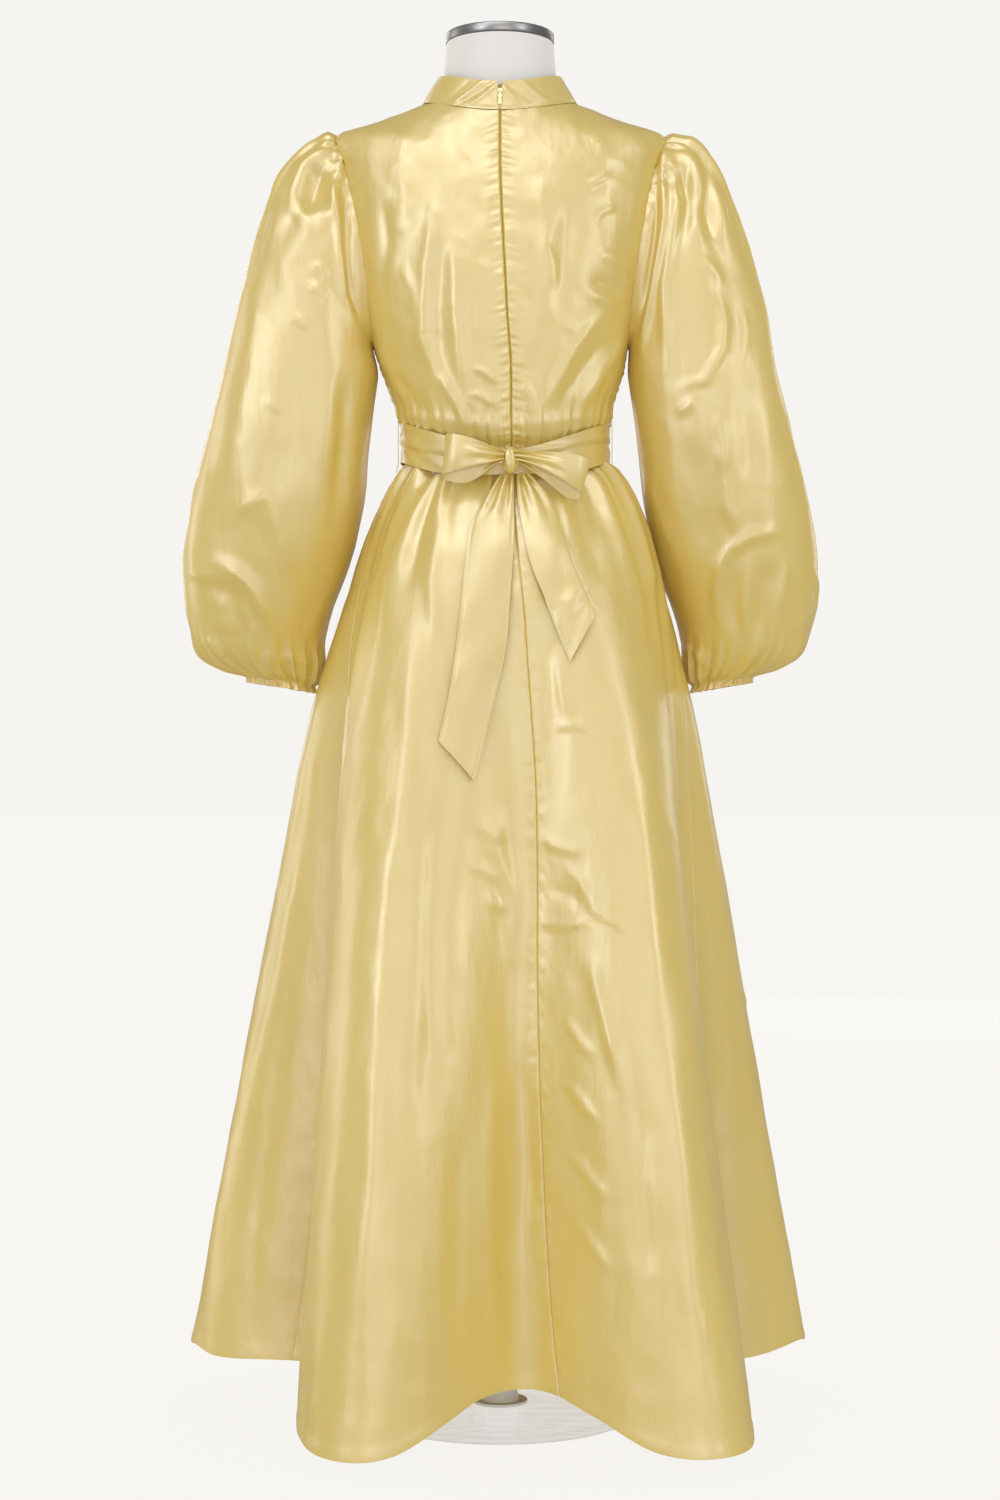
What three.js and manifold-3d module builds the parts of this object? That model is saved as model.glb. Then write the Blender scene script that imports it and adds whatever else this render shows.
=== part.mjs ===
// A floor-length satin dress with bishop sleeves, a stand collar, a back zip and a tied sash,
// worn on a limbless dress form with a metal neck cap, a white pole and a round glass base plate.
// Millimetres, +Z up. The dress's back faces -Y, the wearer's front +Y. The origin is the centre
// of the base plate's underside. An azimuth of 0 is the centre back, and 90 degrees is +X.
import * as THREE from 'three';
import { mergeVertices } from 'three/addons/utils/BufferGeometryUtils.js';
import Module from 'manifold-3d';

const wasm = await Module();
wasm.setup();

// ---- driving dimensions ----
const CLOTH = 1.2;               // thickness of a cloth wall
const SEAM_GAP = 0.3;            // clear distance between two pieces at a seam
const BODY_CLEARANCE = 7;        // dress form to cloth
const WAIST = { side: 1122, back: 1100, front: 1112 };   // height of the waist seam
const SASH_OUT = 6.5;            // middle of the sash outside the waist seam
const SASH_HEIGHT = 46;
const COLLAR_LEAN = 19;          // how far the collar's sides draw in towards its top edge
const ZIP_PULL_LENGTH = 16;
const CAP_RADIUS = 63;
const CAP_HEIGHT = 11.5;
const FORM_TOP = 1604;
const TORSO_BOTTOM = 790;
const POLE_RADIUS = 12.5;
const BASE_RADIUS = 160;
const BASE_THICKNESS = 10;

// ---- shape tables ----
// Rings of the bodice from the waist seam up over the shoulders to the neck seam. half, back and
// front are the ring's half-width and its depths behind and before the axis. square swells its
// diagonals, and centre moves it along X.
const BODICE = [
  { at: 0.00, zSide: 1122, zBack: 1100, zFront: 1112, half: 112, back: 89, front: 97, square: 0.02, centre: 6 },
  { at: 0.07, zSide: 1151, zBack: 1126, zFront: 1142, half: 114, back: 90, front: 98, square: 0.02, centre: 6 },
  { at: 0.11, zSide: 1163, zBack: 1142, zFront: 1157, half: 123, back: 99, front: 107, square: 0.02, centre: 5 },
  { at: 0.25, zSide: 1203, zBack: 1205, zFront: 1212, half: 138, back: 106, front: 122, square: 0.03, centre: 4 },
  { at: 0.40, zSide: 1240, zBack: 1262, zFront: 1262, half: 148, back: 109, front: 132, square: 0.04, centre: 1 },
  { at: 0.52, zSide: 1300, zBack: 1314, zFront: 1312, half: 161, back: 108, front: 128, square: 0.05, centre: 0 },
  { at: 0.68, zSide: 1378, zBack: 1372, zFront: 1366, half: 176, back: 101, front: 112, square: 0.05, centre: 0 },
  { at: 0.82, zSide: 1446, zBack: 1424, zFront: 1412, half: 187, back: 93, front: 95, square: 0.04, centre: 0 },
  { at: 0.90, zSide: 1484, zBack: 1452, zFront: 1437, half: 190, back: 87, front: 84, square: 0.02, centre: 0 },
  { at: 0.95, zSide: 1501, zBack: 1475, zFront: 1458, half: 141, back: 82, front: 81, square: 0.01, centre: 0 },
  { at: 1.00, zSide: 1520, zBack: 1498, zFront: 1478, half: 91, back: 78, front: 78, square: 0.00, centre: 0 },
];
const ARMHOLE = { from: 0.40, to: 0.90, backCut: 25, frontCut: 32, steps: 8 };

// Rings of the skirt from the waist seam to the hem, before its folds. at is the share of the
// way down.
const SKIRT = [
  { at: 0.000, half: 112, back: 89, front: 97, centre: 6 },
  { at: 0.017, half: 115, back: 91, front: 99, centre: 6 },
  { at: 0.028, half: 128, back: 96, front: 106, centre: 8 },
  { at: 0.055, half: 147, back: 112, front: 122, centre: 8 },
  { at: 0.105, half: 170, back: 134, front: 138, centre: 6 },
  { at: 0.260, half: 214, back: 166, front: 166, centre: 2 },
  { at: 0.450, half: 246, back: 196, front: 198, centre: 0 },
  { at: 0.700, half: 284, back: 236, front: 244, centre: -2 },
  { at: 1.000, half: 330, back: 270, front: 290, centre: -3 },
];
// Folds of the skirt: a ridge stands out and a valley falls in by out at the hem, over a width in
// degrees, and starts at start down the skirt. It stands at azimuth at the hem, and drift degrees
// further on at the waist.
const SKIRT_FOLDS = [
  { azimuth: -24, drift: -9, out: 58, width: 15, start: 0.02 },
  { azimuth: 8, drift: 0, out: -96, width: 17, start: 0.16 },
  { azimuth: 34.5, drift: 0, out: 93, width: 17, start: 0.06 },
  { azimuth: -64, drift: -14, out: -118, width: 16, start: 0.02 },
  { azimuth: 76, drift: 0, out: -84, width: 15, start: 0.14 },
  { azimuth: -110, drift: 0, out: 50, width: 20, start: 0.16 },
  { azimuth: 110, drift: 0, out: 56, width: 20, start: 0.14 },
  { azimuth: -146, drift: 0, out: -64, width: 15, start: 0.16 },
  { azimuth: 149, drift: 0, out: -58, width: 15, start: 0.20 },
  { azimuth: -178, drift: 0, out: 40, width: 24, start: 0.08 },
];
// Height of the hem above the floor, round the skirt.
const HEM = [
  { azimuth: -216, height: 40 },
  { azimuth: -180, height: 20 },
  { azimuth: -146, height: 44 },
  { azimuth: -110, height: 52 },
  { azimuth: -98, height: 70 },
  { azimuth: -86, height: 67 },
  { azimuth: -72, height: 70 },
  { azimuth: -58, height: 56 },
  { azimuth: -42, height: 26 },
  { azimuth: -28, height: 17 },
  { azimuth: -18, height: 21 },
  { azimuth: -10, height: 48 },
  { azimuth: -4, height: 65 },
  { azimuth: 6, height: 67 },
  { azimuth: 14, height: 65 },
  { azimuth: 20, height: 50 },
  { azimuth: 27, height: 23 },
  { azimuth: 36, height: 20 },
  { azimuth: 50, height: 26 },
  { azimuth: 66, height: 52 },
  { azimuth: 90, height: 67 },
  { azimuth: 98, height: 72 },
  { azimuth: 110, height: 58 },
  { azimuth: 149, height: 42 },
  { azimuth: 180, height: 20 },
];
// Azimuth of the skirt's centre back seam, down the skirt.
const BACK_SEAM = [
  { at: 0, azimuth: 3.5 },
  { at: 0.05, azimuth: 2.8 },
  { at: 0.08, azimuth: 3.6 },
  { at: 0.16, azimuth: 6.6 },
  { at: 0.27, azimuth: 9.2 },
  { at: 0.38, azimuth: 10.8 },
  { at: 0.59, azimuth: 11 },
  { at: 0.8, azimuth: 12.2 },
  { at: 0.95, azimuth: 13.7 },
  { at: 1, azimuth: 14.6 },
];

// Rings of a sleeve below its cap, for the sleeve on the +X side. out and ahead place the
// middle, wide and deep are half sizes, and tilt raises the outer side.
const SLEEVE = [
  { at: 0.00, z: 1201, out: 234, ahead: 2, wide: 91, deep: 66, tilt: 0.00 },
  { at: 0.20, z: 1130, out: 248, ahead: 8, wide: 95, deep: 71, tilt: 0.00 },
  { at: 0.40, z: 1060, out: 261, ahead: 20, wide: 100, deep: 76, tilt: 0.02 },
  { at: 0.58, z: 995, out: 275, ahead: 36, wide: 98, deep: 79, tilt: 0.05 },
  { at: 0.72, z: 945, out: 285, ahead: 48, wide: 88, deep: 77, tilt: 0.07 },
  { at: 0.84, z: 903, out: 287, ahead: 57, wide: 79, deep: 71, tilt: 0.06 },
  { at: 0.91, z: 879, out: 283, ahead: 61, wide: 73, deep: 64, tilt: 0.06 },
  { at: 0.96, z: 861, out: 272, ahead: 63, wide: 58, deep: 51, tilt: 0.12 },
  { at: 0.98, z: 853, out: 262, ahead: 64, wide: 41, deep: 39, tilt: 0.16 },
  { at: 1.00, z: 844, out: 259, ahead: 64, wide: 41, deep: 41, tilt: 0.16 },
];
const SLEEVE_NARROWER = 4;      // the sleeve on the +X side hangs narrower and farther out
const SLEEVE_FARTHER = 4;
const SLEEVE_CAP_ROWS = 6;
const SLEEVE_ROWS = [0.2, 0.4, 0.58, 0.72, 0.84, 0.91, 0.96, 0.98, 1];

// Rings of the dress form below the waist, and its neck.
const FORM_HIPS = [
  { z: 790, half: 150, back: 112, front: 108 },
  { z: 810, half: 156, back: 118, front: 112 },
  { z: 880, half: 162, back: 126, front: 116 },
  { z: 950, half: 158, back: 122, front: 116 },
  { z: 1020, half: 138, back: 104, front: 108 },
  { z: 1070, half: 115, back: 88, front: 98 },
];
const FORM_NECK = [
  { z: 1528, half: 66.5, depth: 63 },
  { z: 1552, half: 65.7, depth: 63 },
  { z: 1580, half: 63.2, depth: 62.5 },
  { z: FORM_TOP - CAP_HEIGHT - SEAM_GAP, half: 62.4, depth: 62.4 },
];

// Sash tails on the back of the skirt, row by row: the places of their two edges.
const TAIL_LEFT = [
  { xA: 2, zA: 1078, xB: 15, zB: 1078, out: 9 },
  { xA: -18, zA: 1046, xB: 15.5, zB: 1044, out: 6 },
  { xA: -33, zA: 1015, xB: 15.5, zB: 1010, out: 6 },
  { xA: -42, zA: 936, xB: 11, zB: 936, out: 5 },
  { xA: -49, zA: 880, xB: 5, zB: 876, out: 5 },
  { xA: -57, zA: 830, xB: -10, zB: 815, out: 5 },
  { xA: -68, zA: 779, xB: -30, zB: 735, out: 5 },
];
const TAIL_RIGHT = [
  { xA: 18, zA: 1076, xB: 29, zB: 1079, out: 9 },
  { xA: 21, zA: 1040, xB: 56, zB: 1052, out: 5 },
  { xA: 33, zA: 980, xB: 78, zB: 992, out: 6 },
  { xA: 50, zA: 936, xB: 94, zB: 952, out: 5 },
  { xA: 64, zA: 901, xB: 101, zB: 937, out: 5 },
  { xA: 78, zA: 867, xB: 107, zB: 923, out: 5 },
];
const KNOT = { x: 12, y: -111, z: 1096, half: 7, deep: 10, tall: 14 };
const BOW_LOOPS = [
  { name: 'bow_loop_left', side: -1, reach: 62, rise: 5, tall: 47 },
  { name: 'bow_loop_right', side: 1, reach: 74, rise: -22, tall: 46 },
];
const LOOP_START_HEIGHT = 22;
const LOOP_DEPTH = 9;
const LOOP_FORWARD = 8;          // how far a loop's tip stands out before the knot

// ---- materials ----
const finish = (name, color, roughness, metalness) =>
  new THREE.MeshStandardMaterial({ name, color, roughness, metalness });
const SATIN = finish('yellow_satin', 0xe9d694, 0.32, 0);
const SATIN_SASH = finish('yellow_satin_sash', 0xe6d28e, 0.32, 0);
const ZIP_TAPE = finish('zip_tape', 0xdcc98c, 0.7, 0);
const ZIP_METAL = finish('zip_metal', 0xd8c48a, 0.35, 0.6);
const FORM_WHITE = finish('form_white', 0xf4f3f1, 0.55, 0);
const BRUSHED = finish('brushed_steel', 0xa3a19e, 0.38, 1);
const POLE_WHITE = finish('pole_white', 0xf4f4f2, 0.45, 0);
const BASE_GLASS = finish('clear_glass', 0xe6efec, 0.05, 0);

// ---- arithmetic ----
const RADIANS = Math.PI / 180;
const clamp = (value, low, high) => Math.min(high, Math.max(low, value));
const mix = (a, b, share) => a + (b - a) * share;
const smooth = (value) => {
  const t = clamp(value, 0, 1);
  return t * t * (3 - 2 * t);
};
const wrapDegrees = (angle) => ((((angle + 180) % 360) + 360) % 360) - 180;

// A table's column at any place along its key, as a smooth curve through the rows.
function sample(rows, column, at, key = 'at') {
  const last = rows.length - 2;
  let i = 0;
  while (i < last && rows[i + 1][key] < at) i += 1;
  const slope = (a, b) => (rows[b][column] - rows[a][column]) / (rows[b][key] - rows[a][key]);
  const span = rows[i + 1][key] - rows[i][key];
  const t = (at - rows[i][key]) / span;
  const startSlope = i > 0 ? slope(i - 1, i + 1) : slope(0, 1);
  const endSlope = i < last ? slope(i, i + 2) : slope(i, i + 1);
  if (t < 0) return rows[i][column] + startSlope * t * span;
  if (t > 1) return rows[i + 1][column] + endSlope * (t - 1) * span;
  const t2 = t * t;
  const t3 = t2 * t;
  return (2 * t3 - 3 * t2 + 1) * rows[i][column] + (t3 - 2 * t2 + t) * span * startSlope
    + (3 * t2 - 2 * t3) * rows[i + 1][column] + (t3 - t2) * span * endSlope;
}

function ringAt(rows, at) {
  const ring = {};
  for (const column of Object.keys(rows[0])) ring[column] = sample(rows, column, at);
  return ring;
}

// A point of a ring: an ellipse with its own back and front depths and heights.
function ringPoint(ring, azimuth) {
  const across = Math.sin(azimuth * RADIANS);
  const behind = Math.cos(azimuth * RADIANS);
  const swell = 1 + (ring.square ?? 0) * (2 * across * behind) ** 2;
  const depth = behind > 0 ? ring.back : ring.front;
  const level = behind > 0 ? ring.zBack : ring.zFront;
  return new THREE.Vector3(
    (ring.centre ?? 0) + ring.half * across * swell,
    -depth * behind * swell,
    ring.zSide + (level - ring.zSide) * behind * behind,
  );
}

const levelAt = (levels, azimuth) => {
  const behind = Math.cos(azimuth * RADIANS);
  const level = behind > 0 ? levels.back : levels.front;
  return levels.side + (level - levels.side) * behind * behind;
};

// ---- solids ----
function closedMesh(name, positions, triangles, material) {
  const geometry = new THREE.BufferGeometry();
  geometry.setAttribute('position', new THREE.Float32BufferAttribute(positions, 3));
  geometry.setIndex(triangles);
  geometry.computeVertexNormals();
  const mesh = new THREE.Mesh(geometry, material);
  mesh.name = name;
  return mesh;
}

// A cloth wall round the surface pointAt(u, v), offset half its thickness to both sides. us and
// vs are the grid's places. An edge draws back into the piece by trim, in the grid's direction.
function clothWall(name, pointAt, us, vs, material, options = {}) {
  const { wrap = false, trim = {}, thickness = CLOTH } = options;
  const step = 1e-3;
  const positions = [];
  const columns = us.length;
  const rows = vs.length;
  const shifted = (point, towards, distance) =>
    point.add(towards.sub(point).normalize().multiplyScalar(distance));
  vs.forEach((v, j) => {
    us.forEach((u, i) => {
      const alongU = pointAt(u + step, v).sub(pointAt(u - step, v));
      const alongV = pointAt(u, v + step).sub(pointAt(u, v - step));
      const normal = alongU.cross(alongV).normalize().multiplyScalar(thickness / 2);
      const point = pointAt(u, v);
      if (!wrap && i === 0) shifted(point, pointAt(u + step, v), trim.first ?? SEAM_GAP / 2);
      if (!wrap && i === columns - 1) shifted(point, pointAt(u - step, v), trim.last ?? SEAM_GAP / 2);
      if (j === 0) shifted(point, pointAt(u, v + step), trim.start ?? SEAM_GAP / 2);
      if (j === rows - 1) shifted(point, pointAt(u, v - step), trim.end ?? SEAM_GAP / 2);
      positions.push(...point.clone().add(normal).toArray());
      positions.push(...point.clone().sub(normal).toArray());
    });
  });
  const corner = (i, j, side) => 2 * (j * columns + (i % columns)) + side;
  const triangles = [];
  const quad = (a, b, c, d) => triangles.push(a, b, c, a, c, d);
  const lastColumn = wrap ? columns : columns - 1;
  for (let j = 0; j < rows - 1; j += 1) {
    for (let i = 0; i < lastColumn; i += 1) {
      quad(corner(i, j, 0), corner(i + 1, j, 0), corner(i + 1, j + 1, 0), corner(i, j + 1, 0));
      quad(corner(i, j, 1), corner(i, j + 1, 1), corner(i + 1, j + 1, 1), corner(i + 1, j, 1));
    }
  }
  for (let i = 0; i < lastColumn; i += 1) {
    quad(corner(i, 0, 0), corner(i, 0, 1), corner(i + 1, 0, 1), corner(i + 1, 0, 0));
    const top = rows - 1;
    quad(corner(i, top, 0), corner(i + 1, top, 0), corner(i + 1, top, 1), corner(i, top, 1));
  }
  if (!wrap) {
    const end = columns - 1;
    for (let j = 0; j < rows - 1; j += 1) {
      quad(corner(0, j, 0), corner(0, j + 1, 0), corner(0, j + 1, 1), corner(0, j, 1));
      quad(corner(end, j, 0), corner(end, j, 1), corner(end, j + 1, 1), corner(end, j + 1, 0));
    }
  }
  return closedMesh(name, positions, triangles, material);
}

// A solid through closed rings of points, from the bottom up, with flat ends.
function ringStack(name, rings, material) {
  const positions = [];
  const columns = rings[0].length;
  rings.forEach((ring) => ring.forEach((point) => positions.push(...point.toArray())));
  const triangles = [];
  for (let j = 0; j < rings.length - 1; j += 1) {
    for (let i = 0; i < columns; i += 1) {
      const a = j * columns + i;
      const b = j * columns + ((i + 1) % columns);
      triangles.push(a, b, b + columns, a, b + columns, a + columns);
    }
  }
  const top = (rings.length - 1) * columns;
  for (let i = 1; i < columns - 1; i += 1) {
    triangles.push(0, i + 1, i);
    triangles.push(top, top + i, top + i + 1);
  }
  return closedMesh(name, positions, triangles, material);
}

const spread = (count, from = 0, to = 1) =>
  Array.from({ length: count + 1 }, (_, i) => mix(from, to, i / count));

// ---- bodice ----
const WAIST_GATHER = 1.6;        // height of a gather at the waist seam
const BODICE_ROWS = [0, 0.035, 0.07, 0.11, 0.18, 0.29,
  ...spread(ARMHOLE.steps).map((t) => mix(ARMHOLE.from, ARMHOLE.to, (1 - Math.cos(Math.PI * t)) / 2)),
  0.95, 1];

const bodiceBackLine = (at) => 3.5 * (1 - smooth((at - 0.2) / 0.7));

// How far round from the centre a panel reaches: to the side seam, the armhole or the shoulder.
function panelReach(at, cut) {
  const share = (at - ARMHOLE.from) / (ARMHOLE.to - ARMHOLE.from);
  if (share <= 0 || share >= 1) return 90;
  return 90 - cut * Math.sqrt(Math.sin(Math.PI * share));
}

const gatherFade = (at, length) => (1 - smooth(at / length)) * (0.4 + 0.6 * smooth(at / 0.03));

// gather runs -1 to 1 across a gather. Its height fades above the waist.
function bodicePoint(azimuth, at, gather = 0) {
  const point = ringPoint(ringAt(BODICE, at), azimuth);
  const out = WAIST_GATHER * gather * gatherFade(at, 0.26);
  point.x += Math.sin(azimuth * RADIANS) * out;
  point.y -= Math.cos(azimuth * RADIANS) * out;
  return point;
}

function bodicePanel(name, columns, azimuthAt) {
  const pointAt = (u, at) => bodicePoint(azimuthAt(u, at), at, Math.cos(Math.PI * columns * u));
  return clothWall(name, pointAt, spread(columns), BODICE_ROWS, SATIN);
}

// ---- sleeves ----
// The armhole is the bodice's own edge: from the shoulder point down the back and up the front.
function armholeLoop(side) {
  const rows = BODICE_ROWS.filter((at) => at >= ARMHOLE.from && at <= ARMHOLE.to);
  const down = [...rows].reverse();
  const back = down.map((at) => bodicePoint(side * panelReach(at, ARMHOLE.backCut), at));
  const front = rows.map((at) => bodicePoint(side * (180 - panelReach(at, ARMHOLE.frontCut)), at));
  return [...back, ...front.slice(1, -1)];
}

const SLEEVE_COLUMNS = 4 * ARMHOLE.steps;
const CAP_PLEAT = 6;             // height of a pleat below the cap seam
const CUFF_GATHER = 4.2;
const CAP_LEAVE = { bottom: 20, top: 236 };   // how strongly the cap springs from the armhole
const CAP_ARRIVE = { bottom: 56, top: 262 };
const SLEEVE_SEAM_OFFSET = CLOTH / 2 + SEAM_GAP;

function sleeveRingPoint(side, turn, at) {
  const row = ringAt(SLEEVE, at);
  if (side > 0) {
    row.wide -= SLEEVE_NARROWER;
    row.out += SLEEVE_FARTHER;
  }
  const angle = turn * 2 * Math.PI;
  const across = Math.cos(angle) * row.wide;
  const gather = Math.cos(Math.PI * SLEEVE_COLUMNS * turn) * CUFF_GATHER * smooth((at - 0.62) / 0.36);
  const scale = 1 + gather / row.wide;
  return new THREE.Vector3(
    side * (row.out + across * scale),
    row.ahead - Math.sin(angle) * row.deep * scale,
    row.z + row.tilt * across,
  );
}

// The sleeve's surface. turn goes once round from the shoulder point by the back, and v runs
// from the armhole, 0, through the cap, 1, to the cuff, 2.
function sleeveSurface(side) {
  const loop = armholeLoop(side);
  const middle = loop.reduce((sum, point) => sum.add(point), new THREE.Vector3())
    .multiplyScalar(1 / loop.length);
  const onLoop = (turn) => {
    const place = (((turn % 1) + 1) % 1) * loop.length;
    const k = Math.floor(place) % loop.length;
    return loop[k].clone().lerp(loop[(k + 1) % loop.length], place - Math.floor(place));
  };
  return (turn, v) => {
    if (v > 1) return sleeveRingPoint(side, turn, v - 1);
    const crown = (1 + Math.cos(turn * 2 * Math.PI)) / 2;
    const start = onLoop(turn);
    const away = start.clone().sub(middle).setX(0).normalize();
    start.addScaledVector(away, -SLEEVE_SEAM_OFFSET * 0.6);
    start.x += side * SLEEVE_SEAM_OFFSET;
    const leave = new THREE.Vector3(side, 0, 0.02).addScaledVector(away, mix(0.34, 0.16, crown))
      .multiplyScalar(mix(CAP_LEAVE.bottom, CAP_LEAVE.top, crown));
    const end = sleeveRingPoint(side, turn, 0);
    const arrive = sleeveRingPoint(side, turn, 0.01).sub(end).normalize()
      .multiplyScalar(mix(CAP_ARRIVE.bottom, CAP_ARRIVE.top, crown));
    const t2 = v * v;
    const t3 = t2 * v;
    const point = start.multiplyScalar(2 * t3 - 3 * t2 + 1).addScaledVector(leave, t3 - 2 * t2 + v)
      .addScaledVector(end, 3 * t2 - 2 * t3).addScaledVector(arrive, t3 - t2);
    const pleat = Math.cos(Math.PI * SLEEVE_COLUMNS * turn) * CAP_PLEAT * smooth(crown * 1.6 - 0.6)
      * smooth(v / 0.12) * (1 - smooth((v - 0.2) / 0.6));
    return point.add(new THREE.Vector3(side * 0.55, -0.2, 0.75).multiplyScalar(pleat));
  };
}

function sleeve(name, side) {
  const turns = spread(SLEEVE_COLUMNS).slice(0, -1);
  const vs = [...spread(SLEEVE_CAP_ROWS).map((t) => t ** 1.3), ...SLEEVE_ROWS.map((at) => 1 + at)];
  return clothWall(name, sleeveSurface(side), turns, vs, SATIN, { wrap: true, trim: { start: 0 } });
}

// ---- skirt ----
const SKIRT_GATHER = 2.4;
const SKIRT_ROWS = [0, 0.017, 0.034, 0.06, 0.11, 0.18, 0.28, 0.4, 0.52, 0.64, 0.76, 0.88, 1];
const skirtSeam = {
  back: (at) => sample(BACK_SEAM, 'azimuth', at),
  left: (at) => -90 + 17 * smooth(at / 0.4),
  right: (at) => 90 - 13 * at,
};

function foldShare(fold, azimuth, at) {
  const away = wrapDegrees(azimuth - fold.azimuth - fold.drift * (1 - at)) / fold.width;
  return Math.exp(-away * away);
}

function skirtPoint(azimuth, at, gather = 0) {
  const ring = ringAt(SKIRT, at);
  const grown = (fold) => clamp((at - fold.start) / (1 - fold.start), 0, 1) ** 0.85;
  let out = SKIRT_GATHER * gather * gatherFade(at, 0.2);
  for (const fold of SKIRT_FOLDS) out += fold.out * foldShare(fold, azimuth, at) * grown(fold);
  const hem = sample(HEM, 'height', wrapDegrees(azimuth), 'azimuth');
  const across = Math.sin(azimuth * RADIANS);
  const behind = Math.cos(azimuth * RADIANS);
  const depth = behind > 0 ? ring.back : ring.front;
  return new THREE.Vector3(
    ring.centre + (ring.half + out) * across,
    -(depth + out) * behind,
    mix(levelAt(WAIST, azimuth), hem, at),
  );
}

function skirtPanel(name, columns, fromSeam, toSeam) {
  const pointAt = (u, at) => {
    const azimuth = mix(fromSeam(at), toSeam(at), u);
    return skirtPoint(azimuth, at, Math.cos(Math.PI * columns * u));
  };
  return clothWall(name, pointAt, spread(columns), SKIRT_ROWS, SATIN, { trim: { end: 0 } });
}

// The skirt's back at a place x, z, moved out from its surface.
function onSkirtBack(x, z, out) {
  let azimuth = 0;
  let at = 0.2;
  const nudge = 1e-3;
  for (let round = 0; round < 12; round += 1) {
    const point = skirtPoint(azimuth, at);
    const perDegree = (skirtPoint(azimuth + nudge, at).x - point.x) / nudge;
    const perAt = (skirtPoint(azimuth, at + nudge).z - point.z) / nudge;
    azimuth += clamp((x - point.x) / perDegree, -20, 20);
    at += clamp((z - point.z) / perAt, -0.2, 0.2);
  }
  const point = skirtPoint(azimuth, at);
  const across = skirtPoint(azimuth + nudge, at).sub(point);
  const down = skirtPoint(azimuth, at + nudge).sub(point);
  const normal = down.cross(across).normalize();
  return point.addScaledVector(normal, normal.y > 0 ? -out : out);
}

// ---- collar ----
const COLLAR = {
  base: { half: 91, back: 78.3, front: 78.3, zSide: 1521, zBack: 1499, zFront: 1479 },
  top: { half: 91 - COLLAR_LEAN, back: 72.5, front: 71.5, zSide: 1552, zBack: 1533, zFront: 1513 },
};
const COLLAR_COLUMNS = 36;
const COLLAR_NOTCH = 2.6;        // half the opening of the zip at the collar's top, in degrees

function collarPoint(azimuth, at) {
  const ring = {};
  for (const column of Object.keys(COLLAR.base)) {
    ring[column] = mix(COLLAR.base[column], COLLAR.top[column], at);
  }
  return ringPoint(ring, azimuth);
}

function collar() {
  const pointAt = (u, at) => {
    const notch = COLLAR_NOTCH * smooth((at - 0.55) / 0.4);
    return collarPoint(mix(notch, 360 - notch, u), at);
  };
  const trim = { end: 0 };
  return clothWall('collar', pointAt, spread(COLLAR_COLUMNS), [0, 0.35, 0.7, 1], SATIN, { trim });
}

// ---- sash and bow ----
const SASH_LEVELS = { side: 1127, back: 1096, front: 1117 };
const SASH_COLUMNS = 40;
const SASH_AT_KNOT = 28;

function sashPoint(azimuth, share) {
  const ring = { ...BODICE[0], half: BODICE[0].half + SASH_OUT + 3, back: BODICE[0].back + SASH_OUT + 3,
    front: BODICE[0].front + SASH_OUT + 1.5 };
  const point = ringPoint(ring, azimuth);
  const nearKnot = Math.exp(-((wrapDegrees(azimuth - 3) / 26) ** 2));
  const height = mix(SASH_HEIGHT, SASH_AT_KNOT, nearKnot);
  point.z = levelAt(SASH_LEVELS, azimuth) + (share - 0.5) * height;
  return point;
}

function sashBand() {
  const pointAt = (u, share) => sashPoint(360 * u, share);
  const us = spread(SASH_COLUMNS).slice(0, -1);
  const trim = { start: 0, end: 0 };
  return clothWall('sash_band', pointAt, us, [0, 0.5, 1], SATIN_SASH, { wrap: true, trim });
}

function bowLoop({ name, side, reach, rise, tall }) {
  const pointAt = (u, share) => {
    const swell = Math.sin(Math.PI * clamp(u, 0, 1)) ** 0.8;
    const height = mix(LOOP_START_HEIGHT, tall, swell ** 0.7);
    return new THREE.Vector3(
      KNOT.x + side * (KNOT.half + 1 + reach * swell),
      KNOT.y - 2 - LOOP_FORWARD * swell - Math.cos(Math.PI * u) * (2.2 + LOOP_DEPTH * Math.sin(Math.PI * u)),
      KNOT.z + rise * swell + (share - 0.5) * height,
    );
  };
  const us = spread(16).map((u) => mix(0.02, 0.98, u));
  const trim = { first: 0, last: 0, start: 0, end: 0 };
  return clothWall(name, pointAt, us, [0, 0.33, 0.67, 1], SATIN_SASH, { trim });
}

function bowTail(name, rows) {
  const keyed = rows.map((row, i) => ({ ...row, at: i / (rows.length - 1) }));
  const pointAt = (u, at) => {
    const row = ringAt(keyed, at);
    return onSkirtBack(mix(row.xA, row.xB, u), mix(row.zA, row.zB, u), row.out + 2.5 * Math.sin(Math.PI * u));
  };
  const trim = { first: 0, last: 0, start: 0, end: 0 };
  return clothWall(name, pointAt, spread(4), spread(12), SATIN_SASH, { trim });
}

function bowKnot() {
  const geometry = new THREE.SphereGeometry(1, 14, 9);
  geometry.deleteAttribute('normal');
  geometry.deleteAttribute('uv');
  const merged = mergeVertices(geometry);
  merged.rotateX(Math.PI / 2);
  merged.scale(KNOT.half, KNOT.deep, KNOT.tall);
  merged.computeVertexNormals();
  const mesh = new THREE.Mesh(merged, SATIN_SASH);
  mesh.name = 'bow_knot';
  mesh.position.set(KNOT.x, KNOT.y, KNOT.z);
  return mesh;
}

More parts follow.
